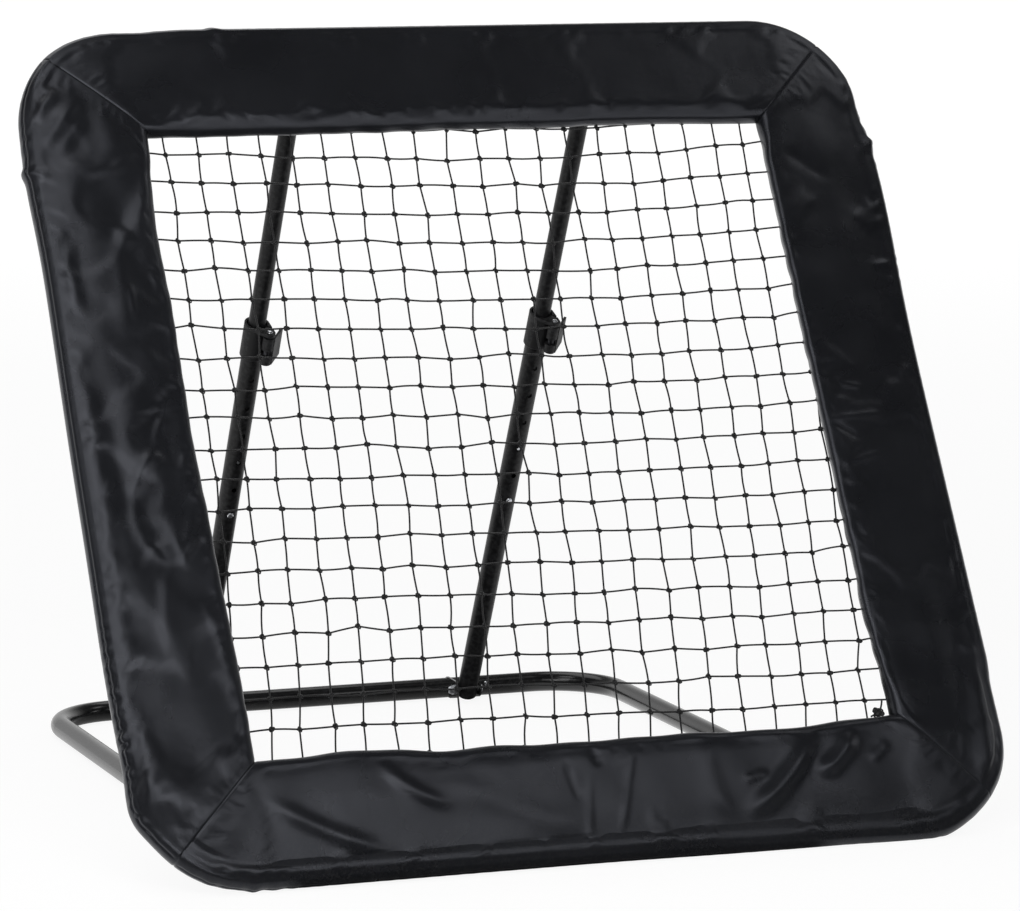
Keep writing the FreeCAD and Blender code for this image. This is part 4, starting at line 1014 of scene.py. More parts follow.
FOLDS: Tuple[Fold, ...] = (
    # upper left corner
    Fold((-558, 1096), (-598, 1050), 7, 2.2),
    Fold((-530, 1084), (-592, 1008), 10, 3.4),
    Fold((-528, 1054), (-572, 999), 8, 2.0),
    Fold((-570, 988), (-458, 1001), 12, 2.6, 20),
    Fold((-594, 991), (-608, 938), 7, 2.6),
    Fold((-609, 1039), (-571, 1092), 4, 1.2),
    Fold((-609, 1069), (-578, 1110), 3, 0.9),
    Fold((-599, 1051), (-563, 1097), 3, 1.0),
    Fold((-609, 1012), (-591, 1044), 4, 1.0),
    Fold((-587, 1101), (-562, 1124), 3, 0.9),
    # left side, from the top down
    Fold((-454, 963), (-528, 849), 14, 4.2, -14),
    Fold((-579, 876), (-572, 763), 10, 3.0, 6),
    Fold((-510, 860), (-524, 723), 14, 2.4),
    Fold((-507, 804), (-507, 755), 5, 1.4),
    Fold((-475, 826), (-466, 797), 5, 1.4),
    Fold((-567, 627), (-457, 631), 6, 0.9),
    Fold((-489, 618), (-505, 570), 9, 2.8, 4),
    Fold((-496, 578), (-550, 498), 10, 3.4, 9),
    Fold((-549, 505), (-516, 412), 10, 3.2, 12),
    Fold((-513, 420), (-532, 282), 12, 3.0, 6),
    Fold((-459, 534), (-502, 411), 10, 2.6, -6),
    Fold((-583, 512), (-570, 537), 5, 1.4),
    Fold((-539, 452), (-518, 417), 5, -1.6),
    Fold((-505, 452), (-494, 402), 5, 1.2),
    Fold((-482, 363), (-459, 214), 7, 2.0, -7),
    Fold((-586, 718), (-591, 233), 16, 3.2),
    Fold((-584, 233), (-582, 83), 14, 2.6),
    Fold((-650, 128), (-478, 62), 38, 8.5),
    Fold((-600, 100), (-560, 118), 8, -1.6),
    # bottom side, from left to right
    Fold((-440, 88), (-291, 12), 11, 4.2, 6),
    Fold((-431, 4), (-385, -21), 6, 2.0),
    Fold((-327, 9), (-265, -20), 6, 2.0),
    Fold((-284, 127), (-195, 64), 9, 2.8, 9),
    Fold((-193, 98), (0, 22), 18, 2.0, 12),
    Fold((-34, 112), (-21, 54), 5, -1.3),
    Fold((-3, 88), (-19, -14), 5, 1.2),
    Fold((6, 131), (13, 98), 7, -2.2),
    Fold((62, 116), (27, 4), 5, 1.3),
    Fold((167, 122), (190, 15), 14, 2.0, 12),
    Fold((249, 75), (208, 67), 7, 1.8),
    Fold((320, 121), (209, 20), 13, 6.2, -8),
    Fold((378, 121), (317, 67), 12, 6.0, -6),
    Fold((426, 105), (394, 79), 8, 1.8),
    # right side, from the bottom up
    Fold((449, 501), (509, 517), 5, 1.5),
    Fold((448, 563), (484, 537), 6, -1.8),
    Fold((449, 569), (529, 576), 5, 1.5),
    Fold((470, 622), (507, 614), 5, 1.4),
    Fold((562, 800), (601, 808), 5, 1.4),
    Fold((463, 980), (529, 934), 10, -1.6),
    Fold((580, 222), (562, 20), 17, 5.0),
    Fold((560, 236), (603, 226), 8, 1.8),
    # top side, from left to right
    Fold((-464, 1041), (-399, 1069), 7, -2.0, 9),
    Fold((-427, 1031), (-356, 1071), 7, 2.0, 7),
    Fold((-254, 1047), (-149, 1075), 9, -1.8, 9),
    Fold((-159, 1039), (-72, 1058), 9, 1.8, 6),
    Fold((-214, 1132), (-166, 1140), 8, 1.2),
)


def through(values: np.ndarray, places: np.ndarray, closed: bool) -> np.ndarray:
    """Points on smooth curves through the rows of an array.

    Args:
        values: the rows that the curves pass through.
        places: where the new rows are taken, counted in rows from the first.
        closed: whether the last row is followed by the first.

    Returns:
        The new rows.
    """
    count = len(values)
    base = np.clip(np.floor(places).astype(int), 0, count - 1 if closed else count - 2)
    t = (places - base).reshape((-1,) + (1,) * (values.ndim - 1))

    def row(step: int) -> np.ndarray:
        """The given rows that lie a step from the new ones."""
        index = base + step
        return values[index % count] if closed else values[np.clip(index, 0, count - 1)]

    before, here, after, beyond = row(-1), row(0), row(1), row(2)
    return (
        here
        + 0.5 * t * (after - before)
        + t * t * (before - 2.5 * here + 2 * after - 0.5 * beyond)
        + t**3 * (1.5 * (here - after) + 0.5 * (beyond - before))
    )


@dataclass(frozen=True)
class Section:
    """The cover's cross-section, from the flap behind round the tube to the pad and back, in mm."""

    skin: float = 2.0
    wrap: float = 20.6
    flap: float = 48.0
    seam_degrees: float = 127.0
    rise_degrees: float = 6.5
    pillow: float = 2.4
    face_end: float = 137.0
    root: float = 104.0
    root_height: float = 7.0
    back: float = 4.0
    puff: float = 0.0
    puff_place: float = 0.60
    welt_degrees: float = 165.0
    nose_roll: float = 2.0
    nose_width: float = 24.0
    nose_out: float = 5.0
    shoulder: float = 0.0
    shoulder_width: float = 28.0
    skin_gap: float = 0.3
    wall_soft: Tuple[float, float] = (0.25, 0.8)

    @property
    def inner(self) -> float:
        """The radius of the cover's inner wall, on the tube."""
        return self.wrap - self.skin

    @property
    def slope(self) -> float:
        """How the inner wall falls from the tube to the pad's root."""
        return (self.inner - self.root_height) / self.root

    def over_wall(self, u: np.ndarray, n: np.ndarray) -> np.ndarray:
        """Which points lie over the cover's inner wall (1) and not on it (0)."""
        above = np.where(u > 0, n + self.slope * u, np.hypot(u, n)) - self.inner
        return smooth_step(above, *self.wall_soft)

    def face(self, u: float) -> float:
        """The height of the front face: it rises to the pad's inner edge and is slightly pillowed.

        Args:
            u: how far in from the tube's middle.

        Returns:
            The height over the tube's middle.
        """
        start = self.wrap * math.cos(math.radians(self.seam_degrees))
        foot = self.wrap * math.sin(math.radians(self.seam_degrees))
        t = (u - start) / (self.face_end - start)
        rise = (u - start) * math.tan(math.radians(self.rise_degrees))
        height = foot + rise + self.pillow * 4 * t * (1 - t)
        height += self.puff * math.sin(math.pi * max(t, 0.0) ** self.puff_place)
        height -= self.shoulder * max(0.0, 1 - (u - start) / self.shoulder_width) ** 2
        height = max(height, math.sqrt(max(0.0, (self.inner + self.skin_gap) ** 2 - u * u)))
        return height - self.nose_roll * max(0.0, (u - self.face_end) / self.nose_width + 1) ** 2

    def rows(self) -> Tuple[np.ndarray, np.ndarray]:
        """The section's points and how free the cloth is at each.

        Returns:
            The points as rows of u and n, and the freedom from 0 to 1.
        """
        inner = self.inner
        start = self.wrap * math.cos(math.radians(self.seam_degrees))
        points: List[Tuple[float, float]] = []
        free: List[float] = []

        def run(values: Iterable[Tuple[float, float]], freedom: Callable[[float], float]) -> None:
            """Adds a run of points with its freedom."""
            items = list(values)
            for index, item in enumerate(items):
                points.append(item)
                free.append(freedom(index / max(len(items) - 1, 1)))

        def arc(radius: float, first: float, last: float, count: int) -> List[Tuple[float, float]]:
            """Points of an arc about the tube, between two angles."""
            angles = [math.radians(angle) for angle in np.linspace(first, last, count)]
            return [(radius * math.cos(angle), radius * math.sin(angle)) for angle in angles]

        run([(u, -self.wrap) for u in np.linspace(self.flap, 7, 6)], lambda t: 0.0)
        run(arc(self.wrap, -90, self.seam_degrees - 360, 12), lambda t: 0.0)
        face = [(u, self.face(u)) for u in np.linspace(start + 4.5, self.face_end, 26)]
        run(face, lambda t: min(1.0, t / 0.1, (1 - t) / 0.06))
        top = self.face(self.face_end)
        nose = [(142.0, top - 3.0), (144.4, top - 7.0), (145.0, top - 12)]
        nose += [(144.7, 13.0), (143.0, 8.0), (139.0, 4.6)]
        run([(u + self.nose_out * (top - n) / (top - self.back), n) for u, n in nose], lambda t: 0.0)
        run([(130, self.back), (121, self.back), (112, self.back)], lambda t: 0.0)
        run([(u, inner - self.slope * u) for u in np.linspace(self.root, 9, 8)], lambda t: 0.0)
        run(arc(inner, 90, 270, 8), lambda t: 0.0)
        run([(u, -inner) for u in np.linspace(8, self.flap, 5)], lambda t: 0.0)
        return np.array(points), np.array(free)


@dataclass(frozen=True)
class Ease:
    """Where the cover stands away from its drawn edge: a soft bulge along a side, in mm."""

    middle: float
    width: float
    amount: float

    def at(self, w: np.ndarray) -> np.ndarray:
        """The bulge at places along the side."""
        return self.amount * np.exp(-(((w - self.middle) / self.width) ** 2))


def eases(*rows: Tuple[float, float, float]) -> Tuple[Ease, ...]:
    """Several bulges, each from its middle, width and amount."""
    return tuple(Ease(*row) for row in rows)


@dataclass
class CoverSide:
    """One padded side of the cover, mitred at its ends, with sizes in mm."""

    side: Side
    plane: LeanPlane
    section: Section = field(default_factory=Section)
    bend: float = 125.0
    columns: int = 101
    end_reach: Tuple[float, float] = (0.0, 0.0)
    middle_reach: float = 0.0
    outer_ease: Sequence[Ease] = ()
    inner_ease: Sequence[Ease] = ()
    notches: Sequence[float] = ()
    notch_half: float = 18.0
    bare_from: float = 375.0
    loop_room: float = 0.1
    tube_room: float = 4.0
    slack: float = 0.006
    pressure: float = 0.7
    stiffness: float = 6.0
    stretch_stiffness: float = 18.0
    shear_stiffness: float = 8.0
    weight: float = 0.25
    steps: int = 16
    cap: float = 1.5
    across_billow: float = 0.25
    along_billow: float = 0.2
    seam_dip: float = 1.0
    welt_depth: float = 1.3
    pucker: float = 0.9
    edge_wave: float = 0.25
    gathers: Sequence[Ease] = ()
    seed: int = 3

    def lay(self, points: np.ndarray, places: np.ndarray) -> Tuple[np.ndarray, np.ndarray, np.ndarray]:
        """Places the section all along the side, round the frame's corners and up to the mitres.

        Args:
            points: the section as rows of u and n.
            places: where along the side the columns lie, from -1 to 1.

        Returns:
            The grid as x, s and n, each point's distance to its seam, and its place along the side.
        """
        half = self.plane.half(self.side)
        run = half - self.bend
        c = places[None, :]
        along = c * half
        first, last = self.end_reach
        reach = first + (last - first) * (c + 1) / 2 + self.middle_reach * (1 - c**4)
        own = smooth_step((1 - np.abs(c)) * half, 4.0, 90.0)
        shared = self.mitre_points(points)
        u, n = (shared[:, k][:, None] + (points - shared)[:, k][:, None] * own for k in (0, 1))
        reach = reach + own * sum((item.at(along) for item in self.inner_ease), np.zeros_like(along))
        u = u + reach * smooth_step(points[:, 0], 55.0, 136.0)[:, None]
        outside = (smooth_step(-points[:, 0], -16.0, 10.0) * smooth_step(points[:, 1], -24.0, -6.0))[:, None]
        ease = sum((item.at(along) for item in self.outer_ease), np.zeros_like(along))
        bare = smooth_step(np.abs(along), self.bare_from, self.bare_from + 50.0)
        ease = np.maximum(ease, -self.loop_room - (self.tube_room - self.loop_room) * bare)
        u = u - ease * outside * smooth_step(1 - np.abs(c), 0.0, 0.16)
        radius = np.maximum(self.bend - u, 0.0)
        length = np.where(u < self.bend, run + radius * math.pi / 4, half - u)
        travel = c * length
        past = np.where(u < self.bend, np.maximum(np.abs(travel) - run, 0.0), 0.0)
        angle = np.where(radius > 1e-6, past / np.maximum(radius, 1e-6), 0.0)
        straight = np.where(u < self.bend, np.minimum(np.abs(travel), run), np.abs(travel))
        w = np.sign(travel) * (straight + radius * np.sin(angle))
        depth = np.where(angle > 0, self.bend - radius * np.cos(angle), u)
        x, s = self.plane.on_side(self.side, w, depth)
        return np.stack([x, s, n], axis=-1), (1 - np.abs(c)) * length, w

    def mitre_points(self, points: np.ndarray) -> np.ndarray:
        """The section that all sides share at their mitres, at the same rows as this side's own."""
        shared = Section().rows()[0]
        if len(points) == len(shared):
            return shared
        return through(shared, self.finer(self.section.rows()[0])[0], True)

    @staticmethod
    def normals(grid: np.ndarray, front: np.ndarray) -> np.ndarray:
        """The outward direction at each point of a grid that closes along its rows.

        Args:
            grid: the points.
            front: which rows lie on the front, where outward is away from the middle.

        Returns:
            One direction a point.
        """
        across = np.roll(grid, -1, axis=0) - np.roll(grid, 1, axis=0)
        along = np.gradient(grid, axis=1)
        normal = np.cross(along, across)
        normal /= np.maximum(np.linalg.norm(normal, axis=-1), 1e-9)[..., None]
        centre = grid.mean(axis=0, keepdims=True)
        outward = np.sum((normal * (grid - centre))[front], axis=-1).mean()
        return normal if outward > 0 else -normal

    def details(self, points: np.ndarray, grid: np.ndarray, to_seam: np.ndarray, w: np.ndarray) -> np.ndarray:
        """The lift of folds, seams, puckers and gathers at every point, in mm.

        Args:
            points: the fine section.
            grid: the fine grid on the frame's plane.
            to_seam: the distance to the mitre seam.
            w: the place along the side.

        Returns:
            The lift along the surface's outward direction.
        """
        dice = random.Random(self.seed + self.side.value)
        u = points[:, 0][:, None]
        n = points[:, 1][:, None]
        front = smooth_step(n, 13.0, 19.0) * smooth_step(u, -12.0, 6.0) * smooth_step(-u, -146.0, -126.0)
        front = front * self.section.over_wall(u, n)
        lift = np.zeros(grid.shape[:2])
        for fold in FOLDS:
            lift += fold.lift(grid[..., 0], grid[..., 1]) * front
        open_front = front * smooth_step(to_seam, 0.0, 60.0) * smooth_step(u, -10.0, 34.0)
        for _ in range(8):
            period, lean, phase = dice.uniform(60, 240), dice.uniform(-0.9, 0.9), dice.uniform(0, 2 * math.pi)
            height = self.across_billow * period / 150
            lift += height * open_front * np.sin(2 * math.pi * (w + lean * u) / period + phase)
        for _ in range(6):
            wide, long, phase = dice.uniform(60, 120), dice.uniform(-600, 600), dice.uniform(0, 2 * math.pi)
            long += math.copysign(250, long)
            lift += self.along_billow * open_front * np.sin(2 * math.pi * (u / wide + w / long) + phase)
        welt_u, welt_n = self.welt()
        away = np.hypot(u - welt_u, n - welt_n)
        lift = lift - self.welt_depth * np.exp(-((away / 1.9) ** 2)) * smooth_step(to_seam, 0.0, 12.0)
        gather = 0.12 + sum((item.at(w) for item in self.gathers), np.zeros_like(w))
        for _ in range(9):
            period, lean, phase = dice.uniform(11, 30), dice.uniform(-0.8, 0.8), dice.uniform(0, 2 * math.pi)
            ripple = np.sin(2 * math.pi * (w + lean * u) / period + phase) * np.exp(-((away / 10.0) ** 2))
            lift += 0.34 * self.pucker * gather * ripple * smooth_step(to_seam, 4.0, 30.0)
        flap = smooth_step(-n, 12.0, 19.0) * smooth_step(u, 0.0, 44.0) * smooth_step(to_seam, 4.0, 40.0)
        for _ in range(12):
            period, phase = dice.uniform(24, 60), dice.uniform(0, 2 * math.pi)
            lift += 0.5 * flap * np.sin(2 * math.pi * w / period + phase)
        edge = smooth_step(u, 128.0, 140.0) * smooth_step(n, 2.0, 10.0) * smooth_step(to_seam, 2.0, 30.0)
        for _ in range(8):
            period, phase = dice.uniform(40, 150), dice.uniform(0, 2 * math.pi)
            lift += self.edge_wave * edge * np.sin(2 * math.pi * w / period + phase)
        within = (u > 4) & (n < 12) & (n > -18)
        outer_skin = smooth_step(np.hypot(u, n), 19.4, 20.2) * np.where(within, 0.0, 1.0)
        lift = lift - self.seam_dip * np.exp(-((to_seam / 1.2) ** 2)) * outer_skin
        return lift + 0.15 * front * np.exp(-(((to_seam - 7.0) / 5.0) ** 2))

    def hold_mitre(self, move: np.ndarray) -> np.ndarray:
        """Keeps the end columns on their mitre planes, so that neighbouring sides stay joined.

        Args:
            move: the displacement of every point, as x, s and n.

        Returns:
            The displacement without what would leave the mitre.
        """
        turn = math.radians(self.side.value)
        for column, sign in ((0, -1.0), (-1, 1.0)):
            cosine, sine = math.cos(turn), math.sin(turn)
            across = np.array([cosine * sign - sine, sine * sign + cosine, 0.0]) / math.sqrt(2)
            leaving = move[:, column] @ across
            move[:, column] -= leaving[:, None] * across[None, :]
        return move

    def build(self, material: bpy.types.Material) -> bpy.types.Object:
        """Builds the side: lets its cloth settle, then adds its folds and seams.

        Args:
            material: the cover's cloth.

        Returns:
            The finished piece.
        """
        points, free = self.section.rows()
        rows, columns = self.finer(points)
        drawn, to_seam, w = self.lay(through(points, rows, True), 2 * columns / (self.columns - 1) - 1)
        move = self.settle(self.lay(points, np.linspace(-1, 1, self.columns))[0], free)
        move = through(np.swapaxes(through(move, rows, True), 0, 1), columns, False)
        drawn = drawn + move.swapaxes(0, 1)
        fine_points = through(points, rows, True)
        front = (fine_points[:, 1] > 20) & (fine_points[:, 0] > 20)
        lift = self.details(fine_points, drawn, to_seam, w)
        grid = drawn + self.hold_mitre(self.normals(drawn, front) * lift[..., None])
        name = f"padded_side_{self.side.name.lower()}"
        mesh = bpy.data.meshes.new(name)
        faces = self.faces(fine_points, w)
        world = self.plane.world(grid * MM).reshape(-1, 3)
        world[:, 2] = np.maximum(world[:, 2], FLOOR_CLEAR)
        mesh.from_pydata(world.tolist(), [], faces)
        return finish_mesh(name, mesh, material)

    def welt(self) -> Tuple[float, float]:
        """Where the lengthwise seam runs on the section, as u and n."""
        angle = math.radians(self.section.welt_degrees)
        return self.section.wrap * math.cos(angle), self.section.wrap * math.sin(angle)

    def finer(self, points: np.ndarray) -> Tuple[np.ndarray, np.ndarray]:
        """Where the fine rows and columns lie among the coarse: closer at the welt and at the mitres.

        Args:
            points: the coarse section.

        Returns:
            The places of the rows and of the columns, counted in coarse ones.
        """
        welt = np.array(self.welt())
        rows: List[float] = []
        for index, point in enumerate(points):
            on_tube = abs(np.linalg.norm(point) - self.section.wrap) < 1
            steps = 5 if on_tube and np.linalg.norm(point - welt) < 9 else 2
            rows.extend(index + step / steps for step in range(steps))
        columns: List[float] = []
        for index in range(self.columns - 1):
            from_end = min(index, self.columns - 2 - index)
            steps = 10 if from_end == 0 else 4 if from_end < 3 else 3
            columns.extend(index + step / steps for step in range(steps))
        return np.array(rows), np.array(columns + [float(self.columns - 1)])

    def faces(self, points: np.ndarray, w: np.ndarray) -> List[Tuple[int, int, int, int]]:
        """The side's faces, without those where the cover is notched behind the tube.

        Args:
            points: the fine section.
            w: each point's place along the side.

        Returns:
            The faces, as indices into the grid.
        """
        rows, columns = w.shape
        faces = []
        for r in range(rows):
            behind = max(points[r, 1], points[(r + 1) % rows, 1]) < -3.0
            for c in range(columns - 1):
                notched = any(abs(w[r, c] - place) < self.notch_half for place in self.notches)
                if not (behind and notched):
                    faces.append(quad(rows, columns, r, c))
        return faces

    def settle(self, grid: np.ndarray, free: np.ndarray) -> np.ndarray:
        """Lets the front cloth, cut a little too long, buckle into folds by simulation.

        Args:
            grid: the coarse grid, as x, s and n in mm.
            free: how free each row is.

        Returns:
            How far each point moves, in mm.
        """
        rows, columns = grid.shape[:2]
        mesh = bpy.data.meshes.new("settling")
        faces = [quad(rows, columns, r, c) for r in range(rows) for c in range(columns - 1)]
        mesh.from_pydata((grid * MM).reshape(-1, 3).tolist(), [], faces)
        piece = bpy.data.objects.new("settling", mesh)
        scene = bpy.context.scene
        scene.collection.objects.link(piece)
        ends = np.minimum(1.0, np.minimum(np.arange(columns), np.arange(columns)[::-1]) / 3.0)
        held = 1.0 - (free[:, None] * ends[None, :]).ravel()
        group = piece.vertex_groups.new(name="held")
        for index, value in enumerate(held):
            group.add([index], float(value), "REPLACE")
        cloth = piece.modifiers.new("settle", "CLOTH")
        settings = cloth.settings
        settings.quality = 5
        settings.mass = self.weight
        settings.tension_stiffness = settings.compression_stiffness = self.stretch_stiffness
        settings.shear_stiffness = self.shear_stiffness
        settings.bending_stiffness = self.stiffness
        settings.vertex_group_mass = "held"
        settings.shrink_min = -self.slack
        settings.use_pressure = True
        settings.uniform_pressure_force = self.pressure
        settings.effector_weights.gravity = 0.0
        cloth.collision_settings.use_collision = False
        cloth.point_cache.frame_start, cloth.point_cache.frame_end = 1, self.steps
        for frame in range(1, self.steps + 1):
            scene.frame_set(frame)
        settled = piece.evaluated_get(bpy.context.evaluated_depsgraph_get()).to_mesh()
        after = np.array([vertex.co for vertex in settled.vertices]).reshape(grid.shape) / MM
        scene.frame_set(1)
        bpy.data.objects.remove(piece)
        bpy.data.meshes.remove(mesh)
        move = after - grid
        size = np.linalg.norm(move, axis=-1, keepdims=True)
        LOG.info("side %s: cloth moved up to %.1f mm", self.side.name.lower(), float(size.max()))
        return move * self.cap * np.tanh(size / self.cap) / np.maximum(size, 1e-9)


@dataclass
class Cover:
    """The padded cover: four sides of black cloth and the elastic in their hem."""

    plane: LeanPlane
    body: str = "frame"
    ribbon_width: float = 8.0
    ribbon_inset: float = 1.0

    def sides(self) -> List[CoverSide]:
        """The four sides, each with what is its own. Places along a side run anticlockwise.

        Returns:
            The sides in the order bottom, right, top and left.
        """
        low_left, low_right, top_right, top_left = -4.0, -4.0, -4.0, -3.0
        return [
            CoverSide(
                Side.BOTTOM,
                self.plane,
                Section(
                    nose_roll=2.4, welt_degrees=178.0, seam_degrees=138.0, shoulder=8.0, shoulder_width=26.0
                ),
                end_reach=(low_left, low_right),
                inner_ease=eases(
                    (-430, 60, 4.0), (-330, 160, 3.0), (-255, 60, -5.0), (0, 200, -5.0), (350, 140, -7.0)
                ),
                outer_ease=eases((-430, 80, -5.0), (-280, 70, -2.0), (330, 190, 5.0), (460, 70, 4.0)),
                across_billow=0.30,
                notches=(-435.0, 435.0),
                notch_half=27.0,
                bare_from=475.0,
                gathers=eases((-470, 60, 0.9)),
                cap=0.9,
            ),
            CoverSide(
                Side.RIGHT,
                self.plane,
                Section(nose_roll=1.4, nose_out=-6.0, welt_degrees=168.0),
                end_reach=(low_right, top_right),
                inner_ease=eases((-400, 90, 5.0), (-200, 120, 2.0), (0, 900, 11.0)),
                outer_ease=eases((340, 150, 8.0), (414, 10, 5.0), (470, 40, -6.0), (-420, 80, -7.0)),
                gathers=eases((420, 60, 0.8), (220, 25, 0.8)),
                cap=0.8,
            ),
            CoverSide(
                Side.TOP,
                self.plane,
                Section(nose_roll=5.5, nose_width=19.0),
                end_reach=(top_right, top_left),
                inner_ease=eases((-330, 150, -3.0), (0, 120, -2.0)),
                across_billow=0.15,
                notches=(-214.0, 214.0),
                outer_ease=eases((330, 10, 2.5), (500, 70, -9.0)),
                cap=0.8,
            ),
            CoverSide(
                Side.LEFT,
                self.plane,
                Section(puff=6.5, nose_roll=1.0, welt_degrees=150.0),
                end_reach=(top_left, low_left),
                inner_ease=eases((-400, 120, -8.0), (-180, 180, -6.0), (30, 150, -7.0), (250, 120, -4.0)),
                across_billow=0.15,
                along_billow=0.45,
                edge_wave=0.12,
                outer_ease=eases(
                    (-400, 90, 5.0), (-402, 8, 4.0), (60, 260, 4.5), (330, 150, 5.0), (515, 40, 6.0)
                ),
                gathers=eases((400, 130, 1.8), (-420, 70, 0.7)),
            ),
        ]

    def ribbon(self, palette: Palette) -> bpy.types.Object:
        """Sews the flat elastic along the inside of the flap, broken where the cover is notched.

        Args:
            palette: the materials.

        Returns:
            The elastic's object.
        """
        parts = MeshParts()
        dice = random.Random(21)
        for side in self.sides():
            run = self.plane.half(side.side) - side.bend
            edges = [-run]
            for place in sorted(side.notches):
                edges += [place - side.notch_half, place + side.notch_half]
            edges.append(run)
            for start, end in zip(edges[::2], edges[1::2]):
                if end - start > 12:
                    self._strip(parts, side, (start + 1, end - 1), dice)
        return parts.build("hem_elastic_ribbon", palette.ribbon)

    def _strip(
        self, parts: MeshParts, side: CoverSide, span: Tuple[float, float], dice: random.Random
    ) -> None:
        """Adds one length of ribbon, as a thin band with rounded edges and small ripples.

        Args:
            parts: where the length is added.
            side: the side that it is sewn to.
            span: where along the side it starts and ends.
            dice: the seeded source of its ripples.
        """
        inner = side.section.inner
        count = max(4, int((span[1] - span[0]) / 5))
        outer_u = side.section.flap - self.ribbon_inset
        profile = [(0.0, 0.0), (0.5, 0.7), (self.ribbon_width - 0.5, 0.7), (self.ribbon_width, 0.0)]
        phase = dice.uniform(0, 6)
        verts, lays = [], []
        for step in range(count + 1):
            w = span[0] + (span[1] - span[0]) * step / count
            for k, (du, dn) in enumerate(profile):
                u = outer_u - du
                n = -inner + 0.1 + dn + 0.25 * math.sin(w / 3.3 + phase) * (dn > 0)
                verts.append((*side.plane.on_side(side.side, w, u), n))
                lays.append((w * MM, k / 4))
        faces = []
        for step in range(count):
            for k in range(4):
                a, b = step * 4 + k, step * 4 + (k + 1) % 4
                faces.append((a, b, b + 4, a + 4))
        faces += [(3, 2, 1, 0), tuple(count * 4 + k for k in range(4))]
        parts.add(side.plane.world(np.array(verts) * MM), faces, np.array(lays))

    def build(self, palette: Palette) -> None:
        """Builds the cover's pieces and lets them stand for the CAD's soft solids.

        Args:
            palette: the materials.
        """
        pieces = []
        for side in self.sides():
            piece = side.build(palette.cloth)
            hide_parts(f"cover_{side.side.name.lower()}")
            pieces.append(piece)
        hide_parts("foam_pads")
        for piece in pieces:
            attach(piece, self.body)
            LOG.info("%s: %d faces", piece.name, len(piece.data.polygons))
        ribbon = self.ribbon(palette)
        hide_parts("hem_elastic")
        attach(ribbon, self.body)
        LOG.info("%s: %d faces", ribbon.name, len(ribbon.data.polygons))


# Net -------------------------------------------------------------------------------------


